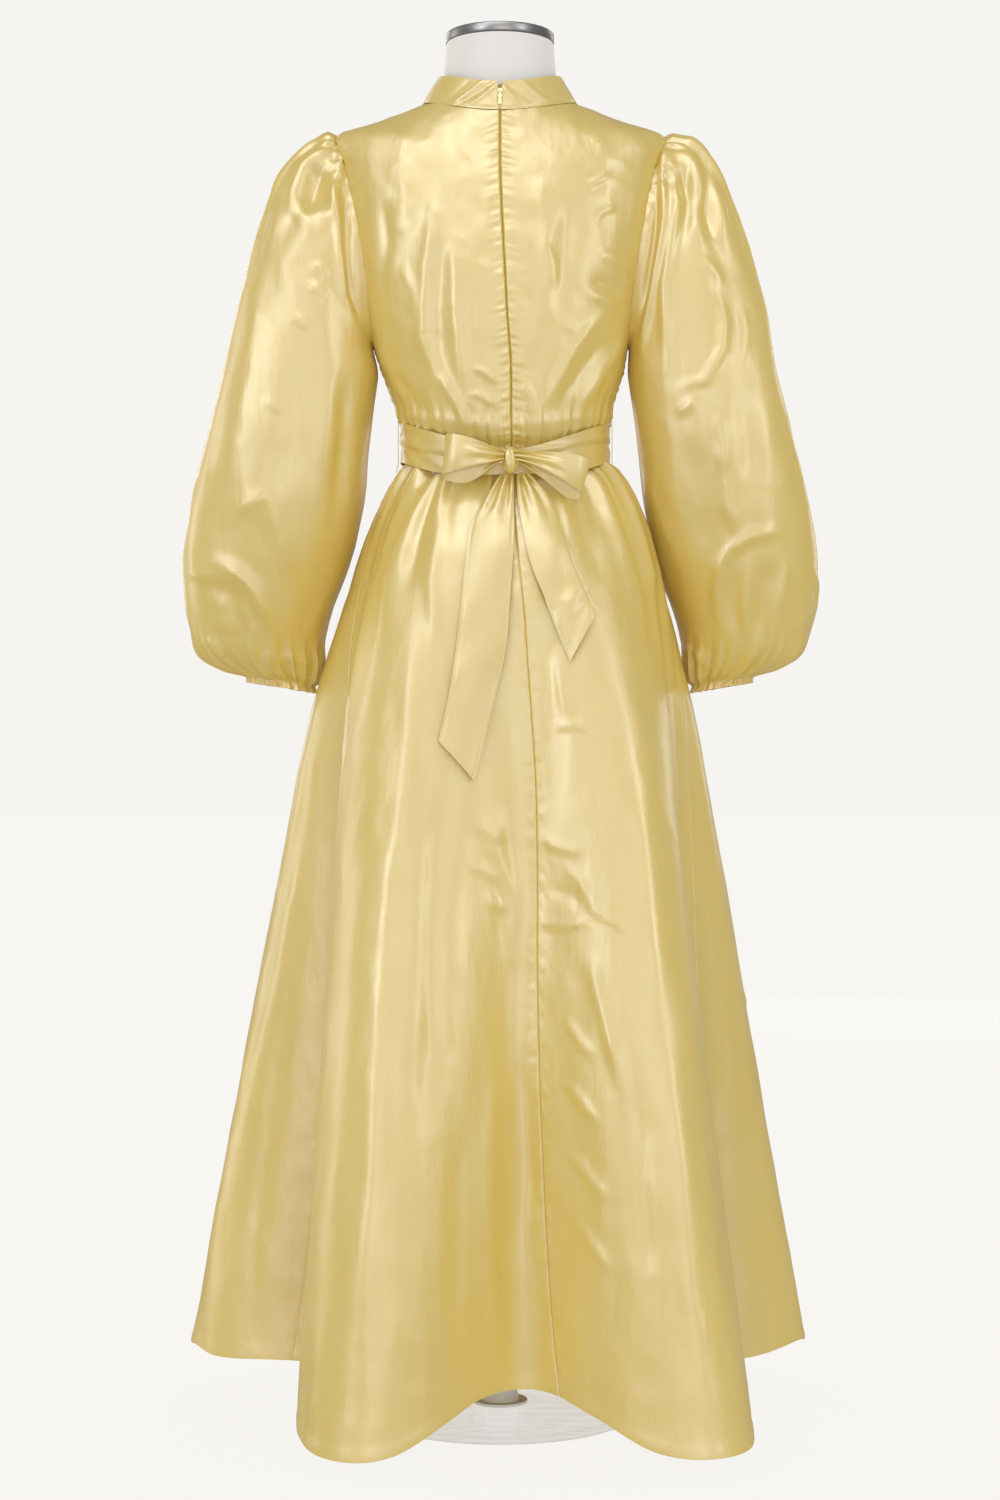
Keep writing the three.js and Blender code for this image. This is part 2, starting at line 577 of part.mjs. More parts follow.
// A thread carrier over the sash at a side seam: out from the bodice, down, and in to the skirt.
function beltLoop(name, side) {
  const width = 2.4;
  const outside = sashPoint(90 * side, 0.5).x + side * 3.2;
  const path = [
    [bodicePoint(90 * side, 0.10, 1).x + side * 1.6, 1159],
    [outside, 1151],
    [outside, 1127],
    [outside, 1103],
    [skirtPoint(90 * side, 0.026, 1).x + side * 1.6, 1094],
  ];
  const at = (v) => {
    const k = clamp(Math.floor(v * 4), 0, 3);
    const share = v * 4 - k;
    return [mix(path[k][0], path[k + 1][0], share), mix(path[k][1], path[k + 1][1], share)];
  };
  const pointAt = (u, v) => new THREE.Vector3(at(v)[0], (u - 0.5) * width, at(v)[1]);
  const trim = { first: 0, last: 0, start: 0, end: 0 };
  return clothWall(name, pointAt, [0, 1], spread(4), SATIN, { trim, thickness: 1 });
}

// ---- zip ----
const TAPE_HALF = 5;             // degrees of azimuth to each side of the centre back
const TAPE_IN = 4.2;             // middle of the tape inside the cloth
const TAPE_THICKNESS = 0.8;
const ZIP_END = 0.085;           // how far down the skirt the zip ends
const SLIDER_AT = 0.62;          // height of the slider on the collar

function zipTape() {
  const places = [
    ...[0.92, 0.5, 0.05].map((at) => ({ surface: collarPoint, line: () => 0, at })),
    ...[0.97, 0.9, 0.8, 0.7, 0.6, 0.5, 0.4, 0.3, 0.2, 0.12, 0.07, 0.02]
      .map((at) => ({ surface: bodicePoint, line: bodiceBackLine, at })),
    ...[0.01, 0.03, 0.055, ZIP_END].map((at) => ({ surface: skirtPoint, line: skirtSeam.back, at })),
  ];
  const inside = ({ surface, line, at }, u) => {
    const azimuth = line(at) + (u - 0.5) * 2 * TAPE_HALF;
    const point = surface(azimuth, at);
    const across = surface(azimuth + 0.1, at).sub(point);
    const along = surface(azimuth, at + 1e-3).sub(point);
    const normal = across.cross(along).normalize();
    return point.addScaledVector(normal, normal.y > 0 ? TAPE_IN : -TAPE_IN);
  };
  const pointAt = (u, v) => {
    const place = clamp(v, 0, 1) * (places.length - 1);
    const k = Math.min(Math.floor(place), places.length - 2);
    return inside(places[k], u).lerp(inside(places[k + 1], u), place - k);
  };
  const trim = { first: 0, last: 0, start: 0, end: 0 };
  return clothWall('zip_tape', pointAt, [0, 0.5, 1], spread(places.length - 1), ZIP_TAPE,
    { trim, thickness: TAPE_THICKNESS });
}

const COLLAR_SLOPE = Math.atan2(
  COLLAR.base.back - COLLAR.top.back,
  COLLAR.top.zBack - COLLAR.base.zBack,
);
const PIN_RADIUS = 0.6;
const PIN_OUT = 2.6;             // pin's middle outside the collar's face
const PULL_THICKNESS = 1;

// Slider and pull are drawn upright in a local frame at the pin, then laid to the collar's slope.
function atPin(geometry, name, material) {
  geometry.rotateX(-COLLAR_SLOPE);
  const foot = collarPoint(0, SLIDER_AT);
  geometry.translate(0, foot.y - (CLOTH / 2 + PIN_OUT) / Math.cos(COLLAR_SLOPE), foot.z);
  const mesh = new THREE.Mesh(geometry, material);
  mesh.name = name;
  return mesh;
}

function toManifold(geometry) {
  geometry.deleteAttribute('normal');
  geometry.deleteAttribute('uv');
  const merged = mergeVertices(geometry);
  return new wasm.Manifold(new wasm.Mesh({
    numProp: 3,
    vertProperties: new Float32Array(merged.attributes.position.array),
    triVerts: new Uint32Array(merged.index.array),
  }));
}

function fromManifold(solid) {
  const { vertProperties, triVerts } = solid.getMesh();
  const geometry = new THREE.BufferGeometry();
  geometry.setAttribute('position', new THREE.BufferAttribute(vertProperties, 3));
  geometry.setIndex(new THREE.BufferAttribute(triVerts, 1));
  geometry.computeVertexNormals();
  return geometry;
}

// A plate on the collar's face with two cheeks that carry the pull's cross pin.
function zipSlider() {
  const plateThickness = 0.6;
  const plateFace = PIN_OUT - SEAM_GAP;
  const plate = new THREE.BoxGeometry(5, plateThickness, 10);
  plate.translate(0, plateFace - plateThickness / 2, -1);
  const cheek = (x) => {
    const block = new THREE.BoxGeometry(0.9, plateFace + PIN_RADIUS * 1.6, 3);
    block.translate(x, (plateFace - PIN_RADIUS * 1.6) / 2 - 0.1, 0);
    return block;
  };
  const pin = new THREE.CylinderGeometry(PIN_RADIUS, PIN_RADIUS, 4.4, 12);
  pin.rotateZ(Math.PI / 2);
  const solid = [cheek(-1.9), cheek(1.9), pin].reduce(
    (sum, piece) => sum.add(toManifold(piece)),
    toManifold(plate),
  );
  return atPin(fromManifold(solid), 'zip_slider', ZIP_METAL);
}

// A teardrop tab below a knuckle that turns on the pin.
function zipPull() {
  const knuckle = { outer: 1.35, inner: PIN_RADIUS + 0.25, width: 2.4 };
  const neckHalf = 1.1;
  const tipHalf = 1.9;
  const ring = new THREE.Shape();
  ring.absarc(0, 0, knuckle.outer, 0, 2 * Math.PI, false);
  const hole = new THREE.Path();
  hole.absarc(0, 0, knuckle.inner, 0, 2 * Math.PI, true);
  ring.holes.push(hole);
  const tube = new THREE.ExtrudeGeometry(ring, { depth: knuckle.width, bevelEnabled: false, curveSegments: 7 });
  tube.translate(0, 0, -knuckle.width / 2);
  tube.rotateY(Math.PI / 2);
  const outline = new THREE.Shape();
  outline.moveTo(neckHalf, -(knuckle.inner + knuckle.outer) / 2);
  outline.lineTo(-neckHalf, -(knuckle.inner + knuckle.outer) / 2);
  outline.lineTo(-tipHalf, -ZIP_PULL_LENGTH + tipHalf);
  outline.absarc(0, -ZIP_PULL_LENGTH + tipHalf, tipHalf, Math.PI, 2 * Math.PI, false);
  const tab = new THREE.ExtrudeGeometry(outline, {
    depth: PULL_THICKNESS, bevelEnabled: false, curveSegments: 8,
  });
  tab.translate(0, 0, -PULL_THICKNESS / 2);
  tab.rotateX(Math.PI / 2);
  return atPin(fromManifold(toManifold(tab).add(toManifold(tube))), 'zip_pull', ZIP_METAL);
}

// ---- dress form ----
const FORM_COLUMNS = 28;

function formTorso() {
  const around = spread(FORM_COLUMNS).slice(0, -1).map((share) => share * 360);
  const hips = FORM_HIPS.map(({ z, ...ring }) => around.map((azimuth) =>
    ringPoint({ ...ring, zSide: z, zBack: z, zFront: z }, azimuth)));
  const inset = (at) => {
    const ring = ringAt(BODICE, at);
    const drop = BODY_CLEARANCE * smooth((at - 0.6) / 0.3);
    return around.map((azimuth) => ringPoint({
      ...ring,
      half: ring.half - BODY_CLEARANCE,
      back: ring.back - BODY_CLEARANCE,
      front: ring.front - BODY_CLEARANCE,
      zSide: ring.zSide - drop,
      zBack: ring.zBack - drop,
      zFront: ring.zFront - drop,
    }, azimuth));
  };
  const body = [0, 0.07, 0.12, 0.25, 0.4, 0.54, 0.68, 0.8, 0.9, 0.95, 1].map(inset);
  const neck = FORM_NECK.map(({ z, half, depth }) => around.map((azimuth) =>
    ringPoint({ half, back: depth, front: depth, zSide: z, zBack: z, zFront: z }, azimuth)));
  return ringStack('form_torso', [...hips, ...body, ...neck], FORM_WHITE);
}

function lathe(name, profile, segments, material) {
  const geometry = new THREE.LatheGeometry(profile.map(([r, z]) => new THREE.Vector2(r, z)), segments);
  geometry.rotateX(Math.PI / 2);
  const mesh = new THREE.Mesh(fromManifold(toManifold(geometry)), material);
  mesh.name = name;
  return mesh;
}

function dressForm() {
  const edge = 1.2;
  const capBottom = FORM_TOP - CAP_HEIGHT;
  const hubBottom = BASE_THICKNESS + SEAM_GAP;
  const hub = { radius: 22, top: 40, flange: 3 };
  return [
    formTorso(),
    lathe('form_cap', [
      [0, capBottom], [CAP_RADIUS - edge, capBottom], [CAP_RADIUS, capBottom + edge],
      [CAP_RADIUS, FORM_TOP - edge], [CAP_RADIUS - edge, FORM_TOP], [0, FORM_TOP],
    ], 36, BRUSHED),
    lathe('form_pole', [
      [0, hub.top + SEAM_GAP], [POLE_RADIUS, hub.top + SEAM_GAP],
      [POLE_RADIUS, TORSO_BOTTOM - SEAM_GAP], [0, TORSO_BOTTOM - SEAM_GAP],
    ], 18, POLE_WHITE),
    lathe('form_hub', [
      [0, hubBottom], [hub.radius + 10, hubBottom], [hub.radius + 10, hubBottom + hub.flange],
      [hub.radius, hubBottom + hub.flange], [hub.radius - 5, hub.top], [0, hub.top],
    ], 24, POLE_WHITE),
    lathe('form_base', [
      [0, 0], [BASE_RADIUS - 2, 0], [BASE_RADIUS, 2], [BASE_RADIUS, BASE_THICKNESS - 2],
      [BASE_RADIUS - 2, BASE_THICKNESS], [0, BASE_THICKNESS],
    ], 40, BASE_GLASS),
  ];
}

// ---- assembly ----
const dress = new THREE.Group();
const backReach = (at) => panelReach(at, ARMHOLE.backCut);
const frontReach = (at) => panelReach(at, ARMHOLE.frontCut);
dress.add(
  bodicePanel('bodice_back_left', 14, (u, at) => mix(-backReach(at), bodiceBackLine(at), u)),
  bodicePanel('bodice_back_right', 14, (u, at) => mix(bodiceBackLine(at), backReach(at), u)),
  bodicePanel('bodice_front', 26, (u, at) => 180 + mix(-frontReach(at), frontReach(at), u)),
  collar(),
  sleeve('sleeve_left', -1),
  sleeve('sleeve_right', 1),
  skirtPanel('skirt_back_left', 26, skirtSeam.left, skirtSeam.back),
  skirtPanel('skirt_back_right', 22, skirtSeam.back, skirtSeam.right),
  skirtPanel('skirt_front', 44, skirtSeam.right, (at) => 360 + skirtSeam.left(at)),
  sashBand(),
  bowKnot(),
  ...BOW_LOOPS.map(bowLoop),
  bowTail('bow_tail_left', TAIL_LEFT),
  bowTail('bow_tail_right', TAIL_RIGHT),
  beltLoop('belt_loop_left', -1),
  beltLoop('belt_loop_right', 1),
  zipTape(),
  zipSlider(),
  zipPull(),
  ...dressForm(),
);

export default dress;
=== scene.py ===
"""A satin maxi dress on a limbless dress form: its cloth, trim, form, lights and camera.

Tables and surfaces are in millimetres, +Z up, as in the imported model, and turn into metres where
a mesh is made. The dress's back faces -Y. An azimuth of 0 is the centre back, 90 degrees is +X.
"""
import math

import bpy
import numpy as np
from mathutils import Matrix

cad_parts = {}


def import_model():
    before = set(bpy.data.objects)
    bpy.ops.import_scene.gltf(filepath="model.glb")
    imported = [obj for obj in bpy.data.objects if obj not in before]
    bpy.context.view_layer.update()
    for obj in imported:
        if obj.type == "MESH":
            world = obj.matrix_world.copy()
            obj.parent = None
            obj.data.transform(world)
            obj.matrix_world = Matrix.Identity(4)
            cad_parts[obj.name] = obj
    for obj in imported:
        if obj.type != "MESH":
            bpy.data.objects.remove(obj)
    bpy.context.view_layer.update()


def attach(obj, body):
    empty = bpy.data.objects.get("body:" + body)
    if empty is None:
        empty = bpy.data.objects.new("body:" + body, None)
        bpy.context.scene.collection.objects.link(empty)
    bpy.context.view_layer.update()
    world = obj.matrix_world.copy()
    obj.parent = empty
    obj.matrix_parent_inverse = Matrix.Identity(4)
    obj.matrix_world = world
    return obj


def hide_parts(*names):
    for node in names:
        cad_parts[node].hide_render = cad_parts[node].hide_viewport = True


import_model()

MM = 0.001
CLOTH = 0.8                      # the thickness of a sheet
SHARP_ANGLE = 60                 # degrees between faces from which an edge is sharp
BODY = "dress"

# ---- the photograph's camera ----
CAMERA_DISTANCE = 3150
CAMERA_HEIGHT = 770
FRAME_MIDDLE = (500, 750)        # pixels, half of the 1000 x 1500 frame
FOCAL = 2700                     # pixels
SENSOR_HEIGHT = 24


# ---- tables ----
def table(columns, *rows):
    return {name: np.array(column, float) for name, column in zip(columns.split(), zip(*rows))}


BODICE = table(
    "at zSide zBack zFront half back front square centre",
    (0.00, 1122, 1100, 1112, 112, 89, 97, 0.02, 6),
    (0.07, 1151, 1126, 1142, 114, 90, 98, 0.02, 6),
    (0.11, 1163, 1142, 1157, 123, 99, 107, 0.02, 5),
    (0.25, 1203, 1205, 1212, 138, 106, 122, 0.03, 4),
    (0.40, 1240, 1262, 1262, 148, 109, 132, 0.04, 1),
    (0.52, 1300, 1314, 1312, 161, 108, 128, 0.05, 0),
    (0.68, 1378, 1372, 1366, 176, 101, 112, 0.05, 0),
    (0.82, 1446, 1424, 1412, 187, 93, 95, 0.04, 0),
    (0.90, 1484, 1452, 1437, 190, 87, 84, 0.02, 0),
    (0.95, 1501, 1475, 1458, 141, 82, 81, 0.01, 0),
    (1.00, 1520, 1498, 1478, 91, 78, 78, 0.00, 0),
)
ARMHOLE = {"from": 0.40, "to": 0.90, "back_cut": 25, "front_cut": 32}
SKIRT = table(
    "at half back front centre",
    (0.000, 112, 89, 97, 6),
    (0.017, 115, 91, 99, 6),
    (0.028, 128, 96, 106, 8),
    (0.055, 147, 112, 122, 8),
    (0.105, 170, 134, 138, 6),
    (0.260, 214, 166, 166, 2),
    (0.450, 246, 196, 198, 0),
    (0.700, 284, 236, 244, -2),
    (1.000, 330, 270, 290, -3),
)
SKIRT_FOLDS = (                  # azimuth at the hem, drift, out, width, start
    (-24, -9, 58, 15, 0.02),
    (8, 0, -96, 17, 0.16),
    (34.5, 0, 93, 17, 0.06),
    (-64, -14, -118, 16, 0.02),
    (76, 0, -84, 15, 0.14),
    (-110, 0, 50, 20, 0.16),
    (110, 0, 56, 20, 0.14),
    (-146, 0, -64, 15, 0.16),
    (149, 0, -58, 15, 0.20),
    (-178, 0, 40, 24, 0.08),
)
HEM = table(
    "azimuth height",
    (-216, 40), (-180, 20), (-146, 44), (-110, 52), (-98, 70), (-86, 67), (-72, 70), (-58, 56),
    (-42, 26), (-28, 17), (-18, 21), (-10, 48), (-4, 65), (6, 67), (14, 65), (20, 50), (27, 23),
    (36, 20), (50, 26), (66, 52), (90, 67), (98, 72), (110, 58), (149, 42), (180, 20),
)
BACK_SEAM = table("at azimuth", (0, 3.5), (0.05, 2.8), (0.08, 3.6), (0.16, 6.6), (0.27, 9.2),
                  (0.38, 10.8), (0.59, 11), (0.8, 12.2), (0.95, 13.7), (1, 14.6))
WAIST = {"side": 1122, "back": 1100, "front": 1112}
SLEEVE = table(
    "at z out ahead wide deep tilt",
    (0.00, 1201, 234, 2, 91, 66, 0.00),
    (0.20, 1130, 248, 8, 95, 71, 0.00),
    (0.40, 1060, 261, 20, 100, 76, 0.02),
    (0.58, 995, 275, 36, 98, 79, 0.05),
    (0.72, 945, 285, 48, 88, 77, 0.07),
    (0.84, 903, 287, 57, 79, 71, 0.06),
    (0.91, 879, 283, 61, 73, 64, 0.06),
    (0.96, 861, 272, 63, 58, 51, 0.12),
    (0.98, 853, 262, 64, 41, 39, 0.16),
    (1.00, 844, 259, 64, 41, 41, 0.16),
)
SLEEVE_NARROWER = 4              # the sleeve on the +X side hangs narrower and farther out
SLEEVE_FARTHER = 4
SEAM_TUCK = 0.7                  # how far a sleeve's edge reaches in under the armhole's edge
COLLAR_BASE = {"half": 91, "back": 78.3, "front": 78.3,
               "zSide": 1521, "zBack": 1499, "zFront": 1479}
COLLAR_TOP = {"half": 72, "back": 72.5, "front": 71.5,
              "zSide": 1552, "zBack": 1533, "zFront": 1513}
COLLAR_NOTCH = 2.6
TAILS = {
    "bow_tail_left": table(
        "xA zA xB zB out",
        (2, 1078, 15, 1078, 9), (-18, 1046, 15.5, 1044, 6), (-33, 1015, 15.5, 1010, 6),
        (-42, 936, 11, 936, 5), (-49, 880, 5, 876, 5), (-57, 830, -10, 815, 5),
        (-68, 779, -30, 735, 5)),
    "bow_tail_right": table(
        "xA zA xB zB out",
        (18, 1076, 29, 1079, 9), (21, 1040, 56, 1052, 5), (33, 980, 78, 992, 6),
        (50, 936, 94, 952, 5), (64, 901, 101, 937, 5), (78, 867, 107, 923, 5)),
}
SASH = {"half": 121.5, "back": 98.5, "front": 105, "centre": 6, "square": 0.02,
        "zSide": 1122, "zBack": 1100, "zFront": 1112}
SASH_LEVEL = {"side": 1127, "back": 1096, "front": 1117}
SASH_HEIGHT = 46                 # and less at the knot, over some degrees to each side
SASH_KNOT = {"azimuth": 3, "width": 26, "height": 28}
KNOT_COLUMNS, KNOT_ROWS = 64, 40
KNOT = {"x": 12, "y": -112, "z": 1096, "half": 8.5, "deep": 11, "tall": 15}
FORM_RINGS = table(
    "z half back front",
    (790, 150, 112, 108), (810, 156, 118, 112), (880, 162, 126, 116), (950, 158, 122, 116),
    (1020, 138, 104, 108), (1070, 115, 88, 98))
TORSO_COLUMNS = 96
TORSO_GAP = 7                    # how far the torso stays inside the bodice
FORM_NECK = (                    # height, half width, half depth
    (1528, 66.5, 63), (1552, 65.7, 63), (1580, 63.2, 62.5), (1592.2, 62.4, 62.4))
CAP_PROFILE = (                  # radius, height
    (61.2, 1592.5), (62.4, 1592.8), (63, 1593.6), (63, 1602.6), (62.7, 1603.4), (61.9, 1604),
    (59.5, 1604))


# ---- arithmetic ----
def mix(a, b, share):
    return a + (b - a) * share


def smooth(value):
    t = np.clip(value, 0, 1)
    return t * t * (3 - 2 * t)


def bump(value):
    return np.exp(-np.square(value))


def wrap_degrees(angle):
    return (np.asarray(angle, float) + 180) % 360 - 180


def sample(rows, column, at, key="at"):
    """A table's column at any place along its key, as a smooth curve through the rows."""
    keys, values = rows[key], rows[column]
    at = np.asarray(at, float)
    slopes = np.empty(len(keys))
    slopes[1:-1] = (values[2:] - values[:-2]) / (keys[2:] - keys[:-2])
    slopes[0] = (values[1] - values[0]) / (keys[1] - keys[0])
    slopes[-1] = (values[-1] - values[-2]) / (keys[-1] - keys[-2])
    i = np.clip(np.searchsorted(keys, at, side="left") - 1, 0, len(keys) - 2)
    span = keys[i + 1] - keys[i]
    t = (at - keys[i]) / span
    inside = np.clip(t, 0, 1)
    t2, t3 = inside ** 2, inside ** 3
    value = ((2 * t3 - 3 * t2 + 1) * values[i] + (t3 - 2 * t2 + inside) * span * slopes[i]
             + (3 * t2 - 2 * t3) * values[i + 1] + (t3 - t2) * span * slopes[i + 1])
    beyond = (t - inside) * span
    return value + beyond * np.where(t < 0, slopes[i], slopes[i + 1])


def row_at(rows, at):
    """All columns of a table at some places along it."""
    return {name: sample(rows, name, at) for name in rows if name != "at"}


def unit(vectors):
    return vectors / np.maximum(np.linalg.norm(vectors, axis=-1, keepdims=True), 1e-9)


def points_of(x, y, z):
    return np.stack(np.broadcast_arrays(x, y, z), axis=-1).astype(float)


def ripple(place, pitch, seed):
    """An uneven wave from -1 to 1, repeated about once in each pitch."""
    turn = 2 * np.pi * np.asarray(place) / pitch
    sway = 0.9 * np.sin(turn * 0.37 + seed) + 0.6 * np.sin(turn * 0.173 + 2.3 * seed)
    return np.sin(turn + sway) * (0.72 + 0.28 * np.sin(turn * 0.29 + 1.7 * seed))


def drawn(i, j, k, seed):
    """A fixed draw from -1 to 1 for each corner of a grid."""
    value = np.sin(i * 127.1 + j * 311.7 + k * 74.7 + seed * 53.3) * 43758.5
    return 2 * (value - np.floor(value)) - 1


def drape(points, pitch, rise, seed):
    """Soft uneven waves from -1 to 1, about pitch wide and rise tall."""
    x, y, z = np.moveaxis(points, -1, 0)
    place = (np.stack((0.8 * x + 0.6 * y + 0.1 * z, 0.8 * y - 0.6 * x, z + 0.2 * x), axis=0)
             / np.array((pitch, pitch, rise)).reshape((3,) + (1,) * x.ndim))
    corner = np.floor(place)
    share = smooth(place - corner)
    total = np.zeros(x.shape)
    for i in (0, 1):
        for j in (0, 1):
            for k in (0, 1):
                weight = 1.0
                for axis, upper in enumerate((i, j, k)):
                    weight = weight * (share[axis] if upper else 1 - share[axis])
                total += weight * drawn(corner[0] + i, corner[1] + j, corner[2] + k, seed)
    return total


def crumple(points, pitch, rise, seed):
    """Waves with narrow crests, as satin creases, that reach 1 at most."""
    return 1 - 3 * np.abs(drape(points, pitch, rise, seed))


def waves(points, layers):
    """The sum of some layers of waves: each one's height, kind, pitch, rise and seed."""
    total = 0
    for height, kind, pitch, rise, seed in layers:
        total = total + height * kind(points, pitch, rise, seed)
    return total


SKIRT_WAVES = ((1.5, drape, 46, 230, 1), (0.9, drape, 27, 64, 2), (0.30, crumple, 34, 44, 3),
               (0.16, drape, 14, 22, 4))
BODICE_WAVES = ((1.0, drape, 34, 52, 5), (0.50, drape, 18, 26, 6), (0.42, crumple, 26, 26, 7),
                (0.16, drape, 10, 14, 8))
SLEEVE_WAVES = ((1.3, drape, 40, 90, 9), (0.8, drape, 22, 44, 10), (0.34, crumple, 28, 40, 11),
                (0.16, drape, 10, 22, 12))


# ---- surfaces ----
def ring_point(ring, azimuth):
    across, behind = np.sin(np.radians(azimuth)), np.cos(np.radians(azimuth))
    swell = 1 + ring.get("square", 0) * (2 * across * behind) ** 2
    depth = np.where(behind > 0, ring["back"], ring["front"])
    level = np.where(behind > 0, ring["zBack"], ring["zFront"])
    return points_of(
        ring.get("centre", 0) + ring["half"] * across * swell,
        -depth * behind * swell,
        ring["zSide"] + (level - ring["zSide"]) * behind ** 2)


def level_at(levels, azimuth):
    behind = np.cos(np.radians(azimuth))
    level = np.where(behind > 0, levels["back"], levels["front"])
    return levels["side"] + (level - levels["side"]) * behind ** 2


def bodice_point(azimuth, at):
    azimuth, at = np.broadcast_arrays(np.asarray(azimuth, float), np.asarray(at, float))
    return ring_point(row_at(BODICE, at), azimuth)


def bodice_back_line(at):
    return 3.5 * (1 - smooth((np.asarray(at) - 0.2) / 0.7))


def panel_reach(at, cut):
    share = np.clip((at - ARMHOLE["from"]) / (ARMHOLE["to"] - ARMHOLE["from"]), 0, 1)
    return 90 - cut * np.sqrt(np.sin(np.pi * share))


def skirt_point(azimuth, at):
    azimuth, at = np.broadcast_arrays(np.asarray(azimuth, float), np.asarray(at, float))
    ring = row_at(SKIRT, at)
    out = np.zeros(azimuth.shape)
    for middle, drift, height, width, start in SKIRT_FOLDS:
        grown = np.clip((at - start) / (1 - start), 0, 1) ** 0.85
        out += height * bump(wrap_degrees(azimuth - middle - drift * (1 - at)) / width) * grown
    hem = sample(HEM, "height", wrap_degrees(azimuth), "azimuth")
    across, behind = np.sin(np.radians(azimuth)), np.cos(np.radians(azimuth))
    depth = np.where(behind > 0, ring["back"], ring["front"])
    return points_of(
        ring["centre"] + (ring["half"] + out) * across,
        -(depth + out) * behind,
        mix(level_at(WAIST, azimuth), hem, at))


def skirt_back_seam(at):
    return sample(BACK_SEAM, "azimuth", at)


def on_skirt_back(x, z, out):
    """The skirt's back at places x, z, moved out from its surface."""
    azimuth, at = np.zeros(np.shape(x)), np.full(np.shape(x), 0.2)
    nudge = 1e-3
    for _ in range(12):
        point = skirt_point(azimuth, at)
        per_degree = (skirt_point(azimuth + nudge, at)[..., 0] - point[..., 0]) / nudge
        per_at = (skirt_point(azimuth, at + nudge)[..., 2] - point[..., 2]) / nudge
        azimuth = azimuth + np.clip((x - point[..., 0]) / per_degree, -20, 20)
        at = at + np.clip((z - point[..., 2]) / per_at, -0.2, 0.2)
    point = skirt_point(azimuth, at)
    across = skirt_point(azimuth + nudge, at) - point
    down = skirt_point(azimuth, at + nudge) - point
    normal = unit(np.cross(down, across))
    normal = np.where(normal[..., 1:2] > 0, -normal, normal)
    return point + normal * np.asarray(out)[..., None]


def collar_point(azimuth, at):
    ring = {name: mix(COLLAR_BASE[name], COLLAR_TOP[name], at) for name in COLLAR_BASE}
    return ring_point(ring, azimuth)


def sleeve_ring_point(side, turn, at):
    row = row_at(SLEEVE, at)
    wide = row["wide"] - (SLEEVE_NARROWER if side > 0 else 0)
    middle = row["out"] + (SLEEVE_FARTHER if side > 0 else 0)
    across = np.cos(2 * np.pi * turn) * wide
    return points_of(
        side * (middle + across),
        row["ahead"] - np.sin(2 * np.pi * turn) * row["deep"],
        row["z"] + row["tilt"] * across)


def sleeve_point(side, turn, v):
    """turn goes once round from the shoulder point by the back; v is 0 armhole, 1 cap, 2 cuff."""
    turn, v = np.broadcast_arrays(np.asarray(turn, float) % 1, np.asarray(v, float))
    half = np.where(turn <= 0.5, 1 - 2 * turn, 2 * turn - 1)
    at = mix(ARMHOLE["from"], ARMHOLE["to"], (1 - np.cos(np.pi * half)) / 2)
    azimuth = np.where(turn <= 0.5, panel_reach(at, ARMHOLE["back_cut"]),
                       180 - panel_reach(at, ARMHOLE["front_cut"]))
    loop = bodice_point(side * azimuth, at)
    away = loop - loop.reshape(-1, 3).mean(axis=0)
    away[..., 0] = 0
    away = unit(away)
    start = loop - np.array((side * SEAM_TUCK, 0, 0))
    crown = ((1 + np.cos(2 * np.pi * turn)) / 2)[..., None]
    leave = (np.array((side, 0, 0.02)) + away * mix(0.34, 0.16, crown)) * mix(20, 236, crown)
    end = sleeve_ring_point(side, turn, 0.0)
    arrive = unit(sleeve_ring_point(side, turn, 0.01) - end) * mix(56, 262, crown)
    t = np.clip(v, 0, 1)[..., None]
    t2, t3 = t ** 2, t ** 3
    cap = (start * (2 * t3 - 3 * t2 + 1) + leave * (t3 - 2 * t2 + t)
           + end * (3 * t2 - 2 * t3) + arrive * (t3 - t2))
    return np.where(v[..., None] > 1, sleeve_ring_point(side, turn, np.clip(v - 1, 0, 1)), cap)


def sash_point(azimuth, share):
    azimuth, share = np.broadcast_arrays(azimuth, share)
    point = ring_point(SASH, azimuth)
    near_knot = bump(wrap_degrees(azimuth - SASH_KNOT["azimuth"]) / SASH_KNOT["width"])
    height = mix(SASH_HEIGHT, SASH_KNOT["height"], near_knot)
    point[..., 2] = level_at(SASH_LEVEL, azimuth) + (share - 0.5) * height
    return point


# ---- creases, placed in the frame of a camera that looks from one side ----
TOWARDS = {"back": (0, -1), "front": (0, 1), "left": (-1, 0), "right": (1, 0)}


def seen_from(view, points):
    """Where points fall in that side's 1000 x 1500 frame."""
    ahead_x, ahead_y = TOWARDS[view]
    distance = CAMERA_DISTANCE - (points[..., 0] * ahead_x + points[..., 1] * ahead_y)
    across = -points[..., 0] * ahead_y + points[..., 1] * ahead_x
    return (FRAME_MIDDLE[0] + FOCAL * across / distance,
            FRAME_MIDDLE[1] - FOCAL * (points[..., 2] - CAMERA_HEIGHT) / distance)


def facing(view, normals):
    """1 where the surface faces that side, and 0 where it faces away."""
    ahead_x, ahead_y = TOWARDS[view]
    return smooth((normals[..., 0] * ahead_x + normals[..., 1] * ahead_y - 0.08) / 0.35)


